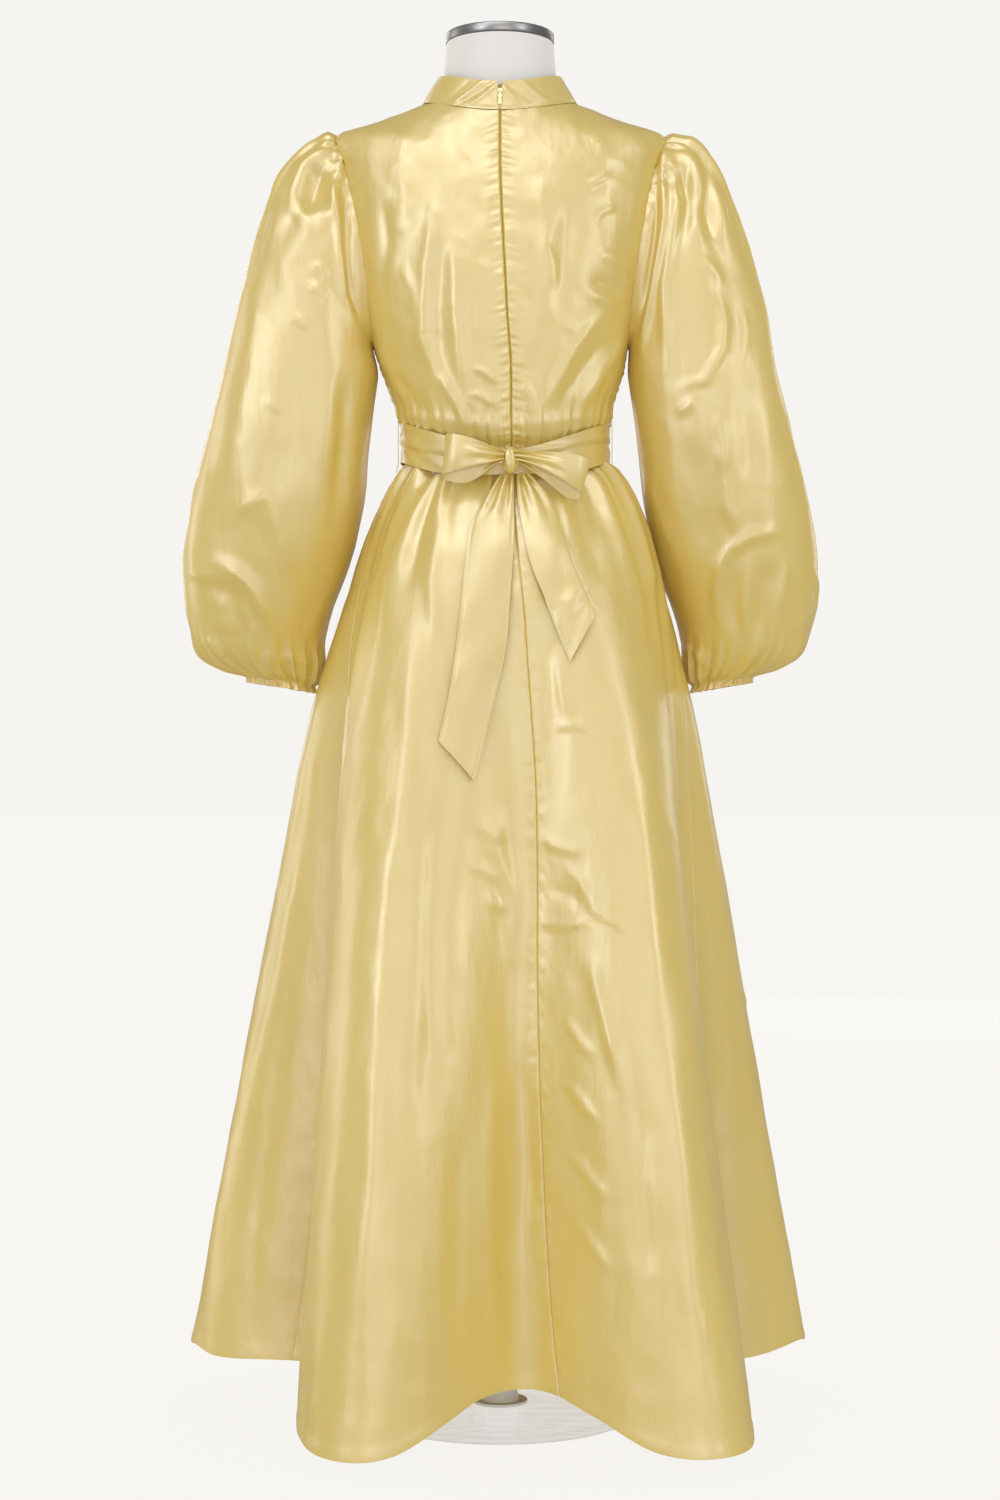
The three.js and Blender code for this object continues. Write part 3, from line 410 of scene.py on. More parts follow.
def crease_height(px, py, path, width, lean, hard_start):
    """A ridge of height 1 along a path. lean from -1 to 1 turns it into a step to one side."""
    path = np.array(path, float)
    lengths = np.linalg.norm(np.diff(path, axis=0), axis=1)
    total = lengths.sum()
    best = np.full(px.shape, 1e9)
    side = np.zeros(px.shape)
    along = np.zeros(px.shape)
    done = 0.0
    for start, end, length in zip(path[:-1], path[1:], lengths):
        dx, dy = (end - start) / length
        place = (px - start[0]) * dx + (py - start[1]) * dy
        kept = np.clip(place, 0, length)
        off_x, off_y = px - start[0] - kept * dx, py - start[1] - kept * dy
        distance = off_x ** 2 + off_y ** 2
        nearer = distance < best
        best = np.where(nearer, distance, best)
        side = np.where(nearer, np.sign(off_x * dy - off_y * dx), side)
        along = np.where(nearer, (done + kept) / total, along)
        done += length
    near = np.sqrt(best) / width
    taper = smooth((1 - along) / 0.35) * (1 if hard_start else smooth(along / 0.3))
    return np.exp(-near ** 2) * ((1 - abs(lean)) + 2.3 * lean * side * near) * taper


def creased(points, normals, view, creases):
    """How far out the creases of one view move each point."""
    px, py = seen_from(view, points)
    weight = facing(view, normals)
    out = np.zeros(px.shape)
    for height, width, lean, path, *start in creases:
        xs, ys = zip(*path)
        margin = 3 * width
        near = ((px > min(xs) - margin) & (px < max(xs) + margin)
                & (py > min(ys) - margin) & (py < max(ys) + margin) & (weight > 0))
        if near.any():
            out[near] += height * weight[near] * crease_height(
                px[near], py[near], path, width, lean, HARD in start)
    return out


# Each crease: height in mm, width in pixels, lean, path, and HARD where it starts at full height.
HARD = "hard"
BODICE_BACK = (
    (3.0, 8, 0.2, ((436, 170), (424, 275), (420, 335), (434, 375), (458, 424))),
    (2.5, 8, 0.2, ((450, 210), (453, 273), (457, 347), (463, 393), (486, 436))),
    (-2.2, 9, 0.0, ((440, 230), (438, 300), (440, 350), (452, 392))),
    (3.0, 5, 0.3, ((438, 372), (455, 405), (470, 432))),
    (-2.5, 6, 0.2, ((392, 372), (412, 402), (436, 428))),
    (2.2, 7, 0.2, ((374, 340), (392, 380), (420, 420))),
    (1.9, 4, 0.0, ((470, 366), (484, 372), (500, 384))),
    (1.6, 4, 0.0, ((466, 392), (482, 396), (500, 408))),
    (-1.8, 6, 0.0, ((382, 190), (388, 240), (380, 300))),
    (2.0, 10, 0.2, ((395, 150), (402, 190), (398, 240))),
    (1.5, 5, 0.2, ((398, 262), (412, 290), (416, 322))),
    (1.9, 4, 0.4, ((588, 188), (598, 182), (612, 177))),
    (1.8, 4, 0.4, ((595, 219), (606, 212), (618, 209))),
    (2.1, 6, 0.3, ((594, 262), (606, 258), (620, 266), (628, 280))),
    (2.2, 6, 0.3, ((584, 296), (600, 300), (622, 312))),
    (-2.2, 7, 0.0, ((588, 282), (604, 284), (622, 296))),
    (3.2, 6, 0.2, ((606, 306), (574, 346), (556, 380), (543, 416))),
    (3.0, 6, 0.2, ((628, 326), (602, 370), (584, 398), (570, 428))),
    (-2.2, 6, 0.0, ((612, 330), (588, 362), (566, 394), (556, 424))),
    (2.2, 10, 0.2, ((545, 165), (538, 200), (545, 250), (540, 330))),
    (-2.0, 9, 0.0, ((570, 190), (566, 250), (560, 320))),
    (2.5, 6, 0.2, ((520, 372), (528, 396), (534, 428))),
    (1.4, 5, 0.2, ((536, 236), (552, 262), (556, 296))),
)
BODICE_FRONT = (
    (2.2, 9, 0.2, ((566, 200), (574, 280), (568, 350), (548, 424))),
    (2.0, 8, 0.2, ((548, 240), (545, 310), (536, 380), (522, 430))),
    (2.4, 6, 0.3, ((612, 330), (596, 372), (572, 424))),
    (2.2, 9, 0.2, ((436, 190), (430, 270), (440, 350), (458, 424))),
    (1.9, 7, 0.2, ((462, 250), (464, 320), (476, 390), (486, 432))),
    (2.3, 6, 0.3, ((392, 332), (404, 370), (430, 422))),
    (-1.8, 8, 0.0, ((500, 220), (504, 300), (500, 390))),
    (1.6, 5, 0.3, ((398, 232), (412, 246), (424, 272))),
    (1.5, 5, 0.3, ((604, 226), (590, 244), (580, 268))),
)
SKIRT_BACK = (
    (4.0, 9, 0.2, ((420, 468), (404, 520), (384, 580), (372, 650)), HARD),
    (-3.8, 8, 0.1, ((406, 468), (386, 520), (362, 590), (344, 650)), HARD),
    (3.8, 7, 0.1, ((446, 470), (438, 520), (430, 580), (436, 660)), HARD),
    (-3.2, 8, 0.0, ((434, 470), (420, 530), (406, 600)), HARD),
    (3.5, 8, 0.2, ((596, 470), (612, 520), (628, 570), (648, 640)), HARD),
    (-3.2, 8, 0.0, ((584, 480), (594, 530), (604, 590)), HARD),
    (3.0, 8, 0.1, ((608, 466), (634, 520), (660, 590), (680, 660)), HARD),
    (3.2, 11, 0.1, ((412, 590), (408, 700), (406, 780), (388, 880), (382, 980))),
    (3.5, 12, 0.1, ((386, 900), (376, 1050), (371, 1170), (361, 1280), (356, 1400))),
    (-3.2, 12, 0.0, ((452, 740), (446, 800), (434, 880), (431, 1020), (428, 1180))),
    (2.8, 10, 0.2, ((500, 800), (493, 845), (512, 905), (508, 980))),
    (3.0, 9, 0.1, ((492, 1040), (489, 1120), (486, 1200), (493, 1330), (486, 1400))),
    (-3.0, 11, 0.0, ((512, 1020), (522, 1100), (526, 1180), (518, 1290))),
    (-2.0, 9, 0.0, ((462, 1120), (456, 1230), (458, 1350))),
    (1.9, 5, 0.3, ((472, 824), (488, 836), (508, 842))),
    (1.6, 4, 0.3, ((466, 866), (484, 872), (500, 884))),
    (1.6, 5, 0.2, ((480, 898), (496, 906), (516, 912))),
    (2.2, 8, 0.2, ((556, 640), (560, 690), (566, 730))),
    (1.8, 4, 0.4, ((552, 729), (572, 727), (596, 731))),
    (1.9, 5, 0.4, ((536, 842), (560, 850), (588, 856))),
    (2.0, 5, 0.4, ((582, 896), (595, 914), (618, 926), (646, 934))),
    (1.9, 5, 0.4, ((534, 925), (560, 928), (596, 923))),
    (-1.8, 6, 0.0, ((548, 888), (572, 896), (590, 912))),
    (1.6, 4, 0.2, ((560, 868), (578, 880), (588, 900))),
    (2.8, 7, 0.2, ((586, 950), (594, 985), (604, 1020), (622, 1086))),
    (1.9, 5, 0.3, ((560, 1016), (580, 1044), (596, 1060))),
    (2.1, 6, 0.3, ((562, 1078), (586, 1112), (602, 1130))),
    (2.0, 6, 0.3, ((566, 1150), (592, 1186), (612, 1206))),
    (1.8, 6, 0.3, ((572, 1216), (594, 1252), (616, 1280))),
    (2.2, 6, 0.1, ((606, 1026), (616, 1060), (626, 1106))),
    (3.2, 12, 0.1, ((636, 740), (646, 860), (656, 968), (665, 1040))),
    (3.2, 12, 0.1, ((664, 1000), (672, 1100), (680, 1170), (687, 1280), (702, 1400))),
    (-3.0, 11, 0.0, ((628, 1040), (641, 1130), (642, 1210), (654, 1320))),
    (-3.0, 10, 0.0, ((706, 1060), (722, 1180), (730, 1260), (742, 1350))),
    (2.8, 9, 0.1, ((252, 1000), (241, 1083), (214, 1220), (202, 1320))),
    (-2.5, 9, 0.0, ((290, 980), (272, 1100), (256, 1230), (250, 1330))),
)
SLEEVE_LEFT_BACK = (
    (5.4, 8, 0.1, ((329, 143), (304, 167), (295, 190), (296, 211), (309, 230), (326, 232)), HARD),
    (3.8, 6, 0.0, ((326, 232), (332, 208), (330, 173), (332, 150))),
    (-8.0, 9, 0.0, ((320, 160), (314, 182), (313, 200), (316, 218))),
    (4.5, 9, 0.2, ((323, 140), (288, 168), (271, 196), (262, 236)), HARD),
    (-3.8, 8, 0.0, ((316, 142), (288, 160), (276, 176)), HARD),
    (5.8, 5, 0.1, ((341, 156), (334, 193), (340, 246), (346, 293), (362, 340)), HARD),
    (-7.4, 5, 0.0, ((346, 186), (346, 246), (351, 296), (364, 332))),
    (2.6, 5, 0.3, ((284, 316), (298, 322), (312, 334))),
    (2.4, 5, 0.3, ((250, 312), (262, 316), (275, 325))),
    (2.4, 5, 0.3, ((309, 266), (318, 270), (328, 280))),
    (2.6, 5, 0.3, ((306, 286), (318, 292), (331, 304))),
    (2.1, 5, 0.3, ((260, 400), (272, 406), (286, 416))),
    (3.2, 12, 0.1, ((262, 250), (250, 330), (238, 420), (228, 500))),
    (-2.9, 12, 0.0, ((300, 350), (292, 440), (284, 500))),
    (3.5, 12, 0.1, ((330, 330), (326, 420), (316, 520), (306, 600))),
    (-3.2, 8, 0.0, ((346, 360), (342, 440), (334, 540))),
    (6.1, 8, 0.3, ((196, 572), (214, 565), (236, 574), (252, 592), (263, 620), (267, 648))),
    (2.9, 3.5, 0.0, ((222, 566), (246, 582), (260, 606), (267, 634))),
    (-5.4, 11, 0.0, ((200, 592), (218, 586), (234, 598), (244, 622), (248, 648))),
    (4.2, 6, 0.0, ((236, 596), (252, 630), (254, 648), (263, 673))),
    (2.6, 5, 0.2, ((204, 638), (214, 646), (225, 660))),
    (2.2, 5, 0.2, ((210, 660), (222, 666), (236, 675))),
    (3.5, 5, 0.0, ((265, 648), (268, 668), (270, 686))),
    (3.5, 9, 0.1, ((220, 536), (239, 509), (267, 497), (279, 540), (284, 570), (291, 590))),
    (3.2, 6, 0.2, ((274, 664), (290, 659), (304, 664), (316, 674))),
)
SLEEVE_RIGHT_BACK = (
    (5.1, 6, 0.1, ((664, 153), (674, 179), (677, 202), (670, 238), (664, 285), (665, 340),
                   (667, 388)), HARD),
    (4.8, 7, 0.1, ((673, 142), (692, 158), (696, 179), (698, 205), (696, 229), (706, 260)), HARD),
    (4.5, 8, 0.1, ((690, 144), (708, 161), (717, 188), (718, 205), (721, 238), (730, 270)), HARD),
    (-5.1, 5, 0.0, ((682, 156), (686, 182), (686, 214), (682, 250))),
    (-4.8, 5, 0.0, ((700, 158), (706, 182), (707, 214), (711, 246))),
    (4.8, 4, 0.0, ((662, 160), (664, 217), (655, 267), (648, 308), (638, 370)), HARD),
    (-6.4, 4, 0.0, ((657, 186), (655, 232), (648, 280), (642, 330))),
    (4.8, 6, 0.3, ((716, 290), (722, 320), (721, 346), (704, 378), (668, 387))),
    (2.9, 5, 0.2, ((674, 416), (688, 408), (702, 396))),
    (3.8, 8, 0.1, ((712, 408), (722, 440), (725, 476))),
    (2.4, 4, 0.2, ((700, 258), (712, 270), (725, 287))),
    (2.2, 5, 0.3, ((738, 300), (744, 330), (742, 362))),
    (3.2, 12, 0.1, ((742, 250), (756, 330), (768, 420), (780, 500))),
    (-2.9, 11, 0.0, ((690, 430), (700, 500), (704, 560))),
    (-2.9, 12, 0.0, ((742, 380), (750, 450), (756, 510))),
    (6.1, 7, -0.3, ((796, 541), (774, 534), (749, 540), (733, 551), (723, 568), (720, 595),
                    (726, 644))),
    (3.8, 5, 0.0, ((750, 546), (747, 582), (745, 612), (747, 632), (739, 664))),
    (4.2, 6, 0.0, ((787, 556), (783, 584), (774, 618), (769, 640), (754, 664))),
    (-4.8, 9, 0.0, ((768, 556), (764, 590), (760, 620), (756, 646))),
    (-3.8, 6, 0.0, ((735, 566), (733, 600), (735, 636))),
    (3.5, 7, 0.1, ((718, 436), (722, 476), (727, 509), (736, 526), (756, 533))),
    (2.9, 5, 0.2, ((684, 645), (702, 659), (714, 678))),
    (2.6, 5, 0.2, ((792, 631), (802, 622), (808, 606))),
)


def mirrored(creases, lower, share):
    """The same creases on the other side of the dress, moved down and of another height."""
    return tuple(
        (height * share, width * 1.1, -lean,
         tuple((2 * FRAME_MIDDLE[0] - px, py + lower * (py > 200)) for px, py in path), *start)
        for height, width, lean, path, *start in creases)


SKIRT_FRONT = mirrored(SKIRT_BACK, 16, 0.9)
SLEEVE_LEFT_FRONT = mirrored(SLEEVE_LEFT_BACK, 10, 0.85)
SLEEVE_RIGHT_FRONT = mirrored(SLEEVE_RIGHT_BACK, -8, 0.85)
# On a sleeve's outer side: the view from that side.
SLEEVE_SIDE = (
    (3.4, 9, 0.2, ((500, 150), (488, 200), (484, 260), (490, 320)), HARD),
    (-3.1, 8, 0.0, ((516, 150), (520, 200), (518, 250)), HARD),
    (3.1, 8, 0.1, ((534, 152), (544, 200), (548, 258)), HARD),
    (2.5, 9, 0.2, ((470, 340), (482, 420), (500, 500))),
    (-2.5, 10, 0.0, ((520, 380), (530, 460), (534, 540))),
    (4.2, 8, 0.3, ((480, 560), (504, 552), (532, 566), (552, 596), (560, 640))),
    (3.1, 7, 0.2, ((504, 600), (520, 630), (530, 664))),
)
SKIRT_SIDE = (
    (2.6, 12, 0.1, ((470, 560), (452, 760), (440, 960), (424, 1180), (410, 1340))),
    (-2.4, 12, 0.0, ((500, 620), (496, 820), (488, 1020), (480, 1240))),
    (2.4, 11, 0.1, ((530, 580), (544, 780), (556, 960), (570, 1180), (582, 1330))),
    (1.6, 6, 0.3, ((458, 900), (478, 916), (500, 920))),
    (1.6, 6, 0.3, ((536, 1010), (552, 1030), (578, 1040))),
)


# ---- meshes ----
def grid_faces(rows, columns, wrap):
    i = np.arange(columns if wrap else columns - 1)
    j = np.arange(rows - 1)
    jj, ii = np.meshgrid(j, i, indexing="ij")
    a = jj * columns + ii
    b = jj * columns + (ii + 1) % columns
    return np.stack((a, b, b + columns, a + columns), axis=-1).reshape(-1, 4)


def grid_normals(points, wrap):
    if wrap:
        along_u = np.roll(points, -1, axis=1) - np.roll(points, 1, axis=1)
    else:
        along_u = np.gradient(points, axis=1)
    return unit(np.cross(along_u, np.gradient(points, axis=0)))


def new_mesh(name, vertices, faces):
    mesh = bpy.data.meshes.new(name)
    mesh.from_pydata((np.asarray(vertices) * MM).tolist(), [], np.asarray(faces).tolist()
                     if not isinstance(faces, list) else faces)
    mesh.validate()
    mesh.shade_smooth()
    mesh.set_sharp_from_angle(angle=math.radians(SHARP_ANGLE))
    piece = bpy.data.objects.new("made_" + name, mesh)
    bpy.context.scene.collection.objects.link(piece)
    return piece


def shell(name, outer, inward, wrap=False):
    """A closed thin shell: the outer grid of points, and the same grid moved inward."""
    rows, columns = outer.shape[:2]
    inner = outer + inward * CLOTH
    faces = grid_faces(rows, columns, wrap)
    count = rows * columns
    back = faces[:, ::-1] + count
    rim = []
    last = columns if wrap else columns - 1
    top = (rows - 1) * columns
    for i in range(last):
        k = (i + 1) % columns
        rim.append((k, i, count + i, count + k))
        rim.append((top + i, top + k, count + top + k, count + top + i))
    if not wrap:
        for j in range(rows - 1):
            a, b = j * columns, (j + 1) * columns
            rim.append((a, b, count + b, count + a))
            a, b = a + columns - 1, b + columns - 1
            rim.append((b, a, count + a, count + b))
    vertices = np.concatenate((outer.reshape(-1, 3), inner.reshape(-1, 3)))
    return new_mesh(name, vertices, np.concatenate((faces, back, np.array(rim))))


def rings_solid(name, rings):
    """A solid of closed rings of points, one above the other, with flat ends."""
    columns = len(rings[0])
    points = np.array(rings)
    faces = grid_faces(len(rings), columns, True).tolist()
    faces.append(list(range(columns))[::-1])
    faces.append([(len(rings) - 1) * columns + i for i in range(columns)])
    return new_mesh(name, points.reshape(-1, 3), faces)


def outward_sign(normals, outward):
    return -1 if np.mean(np.sum(normals * outward, axis=-1)) < 0 else 1


def cloth(name, points, out, outward, wrap=False):
    """A sheet on a grid of base points, moved out by creases. outward names the outer side."""
    normals = grid_normals(points, wrap)
    flip = outward_sign(normals, outward)
    normals = normals * flip
    outer = points + normals * (out + CLOTH / 2)[..., None]
    if flip < 0:
        outer, normals = outer[:, ::-1], normals[:, ::-1]
    return shell(name, outer, -normals, wrap)


def normals_of(points, outward, wrap=False):
    normals = grid_normals(points, wrap)
    return normals * outward_sign(normals, outward)


def arc_length(points, axis):
    """The length along a grid's rows or columns from its first edge."""
    steps = np.linalg.norm(np.diff(points, axis=axis), axis=-1)
    start = np.zeros_like(np.take(steps, [0], axis=axis))
    return np.concatenate((start, np.cumsum(steps, axis=axis)), axis=axis)


QUICK = 1.0


def spread(start, end, count):
    """Even places from start to end, their count scaled by QUICK."""
    return np.linspace(start, end, max(4, int(count * QUICK)))


def closer_at_seams(count):
    """Places from 0 to 1 that stand closer together near both ends."""
    share = spread(0, 1, count)
    return share - 0.6 * np.sin(2 * np.pi * share) / (2 * np.pi)


def settle(piece, slot, *nodes):
    """Gives a piece its body, the nodes it takes the place of, its slot and its material."""
    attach(piece, BODY)
    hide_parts(*nodes)
    piece.data.materials.append(MATERIALS[slot])
    return piece


# ---- materials ----
def material(name, base, roughness, build=None, **sockets):
    made = bpy.data.materials.new(name)
    made.use_nodes = True
    nodes, links = made.node_tree.nodes, made.node_tree.links
    shader = nodes["Principled BSDF"]
    shader.inputs["Base Color"].default_value = (*base, 1)
    shader.inputs["Roughness"].default_value = roughness
    for socket, value in sockets.items():
        shader.inputs[socket.replace("_", " ")].default_value = value
    if build:
        build(nodes, links, shader)
    return made


def noise(nodes, links, scale, detail, stretch=(1, 1, 1)):
    place = nodes.new("ShaderNodeTexCoord")
    mapping = nodes.new("ShaderNodeMapping")
    mapping.inputs["Scale"].default_value = stretch
    links.new(place.outputs["Object"], mapping.inputs["Vector"])
    made = nodes.new("ShaderNodeTexNoise")
    made.inputs["Scale"].default_value = scale
    made.inputs["Detail"].default_value = detail
    links.new(mapping.outputs["Vector"], made.inputs["Vector"])
    return made.outputs["Fac"]


def ramp(nodes, links, fac, low, high, low_at=0.3, high_at=0.7):
    made = nodes.new("ShaderNodeValToRGB")
    made.color_ramp.elements[0].position = low_at
    made.color_ramp.elements[1].position = high_at
    made.color_ramp.elements[0].color = (*low, 1)
    made.color_ramp.elements[1].color = (*high, 1)
    links.new(fac, made.inputs["Fac"])
    return made.outputs["Color"]


def add_bump(nodes, links, shader, height, strength, distance, before=None):
    made = nodes.new("ShaderNodeBump")
    made.inputs["Strength"].default_value = strength
    made.inputs["Distance"].default_value = distance
    links.new(height, made.inputs["Height"])
    if before:
        links.new(before, made.inputs["Normal"])
    links.new(made.outputs["Normal"], shader.inputs["Normal"])
    return made.outputs["Normal"]


def satin(name, base, low, high):
    """Satin whose colour wanders from low to high, with crinkles, slub streaks and a fine warp."""
    def build(nodes, links, shader):
        tone = noise(nodes, links, 9, 3, (1, 1, 0.35))
        links.new(ramp(nodes, links, tone, low, high), shader.inputs["Base Color"])
        gloss = noise(nodes, links, 38, 4, (1, 1, 0.14))
        rough = ramp(nodes, links, gloss, (0.38,) * 3, (0.51,) * 3)
        links.new(rough, shader.inputs["Roughness"])
        crinkle = noise(nodes, links, 34, 4, (1, 1, 0.45))
        soft = add_bump(nodes, links, shader, crinkle, 0.42, 0.0035)
        slub = noise(nodes, links, 110, 3, (1, 1, 0.07))
        streaks = add_bump(nodes, links, shader, slub, 0.30, 0.0012, soft)
        warp = noise(nodes, links, 900, 2, (1, 1, 0.05))
        add_bump(nodes, links, shader, warp, 0.12, 0.0004, streaks)
    return material(name, base, 0.45, build, IOR=1.8, Specular_IOR_Level=1.0, Coat_Weight=0.26,
                    Coat_Roughness=0.22)


def brushed_nodes(nodes, links, shader):
    grain = noise(nodes, links, 160, 3, (0.05, 0.05, 6))
    links.new(ramp(nodes, links, grain, (0.30,) * 3, (0.46,) * 3), shader.inputs["Roughness"])
    add_bump(nodes, links, shader, grain, 0.12, 0.0004)


def plastic_nodes(nodes, links, shader):
    grain = noise(nodes, links, 420, 2)
    links.new(ramp(nodes, links, grain, (0.5,) * 3, (0.58,) * 3), shader.inputs["Roughness"])
    add_bump(nodes, links, shader, grain, 0.05, 0.0003)


def glass_nodes(nodes, links, shader):
    haze = noise(nodes, links, 5, 1)
    links.new(ramp(nodes, links, haze, (0.015,) * 3, (0.03,) * 3), shader.inputs["Roughness"])


def tape_nodes(nodes, links, shader):
    weave = noise(nodes, links, 1500, 2, (1, 1, 0.4))
    add_bump(nodes, links, shader, weave, 0.4, 0.0003)


MATERIALS = {
    "yellow_satin": satin("satin", (0.67, 0.49, 0.085), (0.655, 0.472, 0.074),
                          (0.695, 0.507, 0.094)),
    "yellow_satin_sash": satin("satin_sash", (0.66, 0.48, 0.085), (0.645, 0.462, 0.074),
                               (0.68, 0.497, 0.094)),
    "zip_tape": material("tape", (0.42, 0.33, 0.13), 0.75, tape_nodes),
    "zip_metal": material("lacquered_metal", (0.72, 0.60, 0.34), 0.32, brushed_nodes, Metallic=0.7),
    "form_white": material("matt_white", (0.72, 0.71, 0.69), 0.55, plastic_nodes),
    "brushed_steel": material("brushed_steel", (0.33, 0.325, 0.32), 0.38, brushed_nodes,
                              Metallic=1.0),
    "pole_white": material("powder_coat", (0.78, 0.775, 0.765), 0.45, plastic_nodes),
    "clear_glass": material("glass", (0.96, 0.985, 0.975), 0.02, glass_nodes, IOR=1.5,
                            Transmission_Weight=1.0, Alpha=0.35),
}


# ---- skirt ----
SKIRT_CREASE_GAIN = 1.2
GROOVE_WIDTH = 1.1
CENTRE_SEAM = (1.4, 0.7, 13)     # a seam's groove, lift of its puckers and their reach
SIDE_SEAM = (0.8, 0.3, 12)
ZIP_SEAM = (3.2, 1.0, 12)
ARMHOLE_SEAM = (1.4, 0.8, 10)


def outward_of(points):
    flat = points.copy()
    flat[..., 2] = 0
    return unit(flat)


def seams_out(points, first, last):
    """A groove and puckers along a panel's first and last column."""
    length, width = arc_length(points, 0), arc_length(points, 1)
    out = np.zeros(width.shape)
    for distance, seam, seed in ((width, first, 1.3), (width[:, -1:] - width, last, 4.1)):
        groove, lift, reach = seam
        out -= groove * bump(distance / GROOVE_WIDTH)
        slant = length + 0.25 * distance
        puckers = ripple(slant, 10, seed) + 0.6 * ripple(slant, 23, seed + 2)
        out += lift * puckers * bump(distance / reach) * smooth((distance - 0.5) / 3)
    return out


def skirt_rows(count):
    share = spread(0, 1, count)
    return mix(share ** 1.5, share, 0.45)


def skirt_out(points, azimuth, at, normals):
    """Gathers below the waist, the creases of each side, and small uneven waves."""
    fade = (1 - smooth(at / 0.17)) * (0.35 + 0.65 * smooth(at / 0.02))
    gathers = ripple(azimuth, 11.5, 1.0) + 0.4 * ripple(azimuth, 5.6, 2.6) * (1 - smooth(at / 0.05))
    out = 2.5 * gathers * fade
    deeper = (1 - smooth(at / 0.42)) * smooth(at / 0.03)
    out += 2.4 * ripple(azimuth + 12 * at, 21, 4.4) * deeper
    for view, creases in (("back", SKIRT_BACK), ("front", SKIRT_FRONT),
                          ("left", SKIRT_SIDE), ("right", SKIRT_SIDE)):
        out += SKIRT_CREASE_GAIN * creased(points, normals, view, creases)
    below = smooth((at - 0.03) / 0.12)
    out += below * waves(points, SKIRT_WAVES)
    return out


def hem_roll(up):
    """The hem's turned edge, stitches and rounded lip. up is the height over the edge."""
    turned, stitches = smooth((9 - up) / 2), bump((up - 9.5) / 1.3)
    return 0.9 * turned - 0.7 * stitches - 0.5 * smooth((1.5 - up) / 1.5)


def skirt_panel(name, columns, rows, seams, first, last):
    at = skirt_rows(rows)[:, None]
    u = closer_at_seams(columns)[None, :]
    azimuth = mix(seams[0](at), seams[1](at), u)
    points = skirt_point(azimuth, at)
    normals = normals_of(points, outward_of(points))
    out = skirt_out(points, azimuth, np.broadcast_to(at, azimuth.shape), normals)
    length = arc_length(points, 0)
    out += hem_roll(length[-1:] - length) + seams_out(points, first, last)
    piece = settle(cloth(name, points, out, outward_of(points)), "yellow_satin", name)


def seam_left(at):
    return -90 + 17 * smooth(np.asarray(at) / 0.4)


def seam_right(at):
    return 90 - 13 * np.asarray(at)


# ---- bodice ----
BLOUSE = {"height": 6.5, "at": 0.075, "width": 0.035}
BODICE_CREASE_GAIN = 1.35


def bodice_rows(count):
    below = spread(0, ARMHOLE["from"], count * 0.42)
    share = spread(0, 1, count * 0.46)
    armhole = mix(ARMHOLE["from"], ARMHOLE["to"], (1 - np.cos(np.pi * share)) / 2)
    above = spread(ARMHOLE["to"], 1, count * 0.12)
    return np.concatenate((below, armhole[1:], above[1:]))


def bodice_out(points, azimuth, at, normals):
    """Gathers and a blouse above the waist, the creases of each side, and small uneven waves."""
    fade = (1 - smooth(at / 0.24)) * (0.35 + 0.65 * smooth(at / 0.03))
    gathers = ripple(azimuth, 8.2, 3.1) + 0.45 * ripple(azimuth, 4.3, 0.4)
    out = 2.3 * gathers * fade + BLOUSE["height"] * bump((at - BLOUSE["at"]) / BLOUSE["width"])
    out += BODICE_CREASE_GAIN * creased(points, normals, "back", BODICE_BACK)
    out += BODICE_CREASE_GAIN * creased(points, normals, "front", BODICE_FRONT)
    out += waves(points, BODICE_WAVES)
    return out


def bodice_panel(name, columns, rows, azimuth_at, first, last):
    at = bodice_rows(rows)[:, None]
    u = closer_at_seams(columns)[None, :]
    azimuth = azimuth_at(u, at)
    points = bodice_point(azimuth, at)
    normals = normals_of(points, outward_of(points))
    out = bodice_out(points, azimuth, np.broadcast_to(at, azimuth.shape), normals)
    out += seams_out(points, first, last)
    piece = settle(cloth(name, points, out, outward_of(points)), "yellow_satin", name)


# ---- sleeves ----
CAP_PLEATS = (                   # turn, width, height: folds that fall from the cap seam
    (0.035, 0.020, 4.6), (0.075, 0.015, -3.6), (0.112, 0.020, 4.2), (0.150, 0.016, -3.2),
    (0.190, 0.022, 3.0), (0.962, 0.020, 4.6), (0.922, 0.016, -3.6), (0.880, 0.022, 4.2),
    (0.838, 0.016, -3.0), (0.998, 0.016, -3.6), (0.795, 0.022, 2.6),
)


def sleeve_out(side, turn, v, points, normals):
    near_seam = smooth(v / 0.16) * (1 - smooth((v - 0.10) / 0.75))
    out = np.zeros(turn.shape)
    for middle, width, height in CAP_PLEATS:
        away = (turn - middle + 0.5) % 1 - 0.5
        out += height * bump(away / (width * (1 + 1.2 * np.clip(v, 0, 1)))) * near_seam
    crown = (1 + np.cos(2 * np.pi * turn)) / 2
    out += 1.5 * ripple(turn * 100, 2.4, 5.1) * smooth(crown * 2 - 0.7) * smooth(v / 0.02) \
        * (1 - smooth((v - 0.02) / 0.16))
    cuff = smooth((v - 1.80) / 0.13)
    gathers = 3.0 * ripple(turn * 100, 4.6, 2.2 + side) + 1.2 * ripple(turn * 100, 2.1, 0.8)
    out += gathers * cuff * (1 - 0.55 * smooth((v - 1.965) / 0.02))
    back, front = ((SLEEVE_LEFT_BACK, SLEEVE_LEFT_FRONT) if side < 0
                   else (SLEEVE_RIGHT_BACK, SLEEVE_RIGHT_FRONT))
    out += creased(points, normals, "back", back) + creased(points, normals, "front", front)
    out += creased(points, normals, "left" if side < 0 else "right", SLEEVE_SIDE)
    free = smooth((v - 0.1) / 0.3) * (1 - 0.5 * cuff)
    out += free * waves(points, SLEEVE_WAVES)
    return out


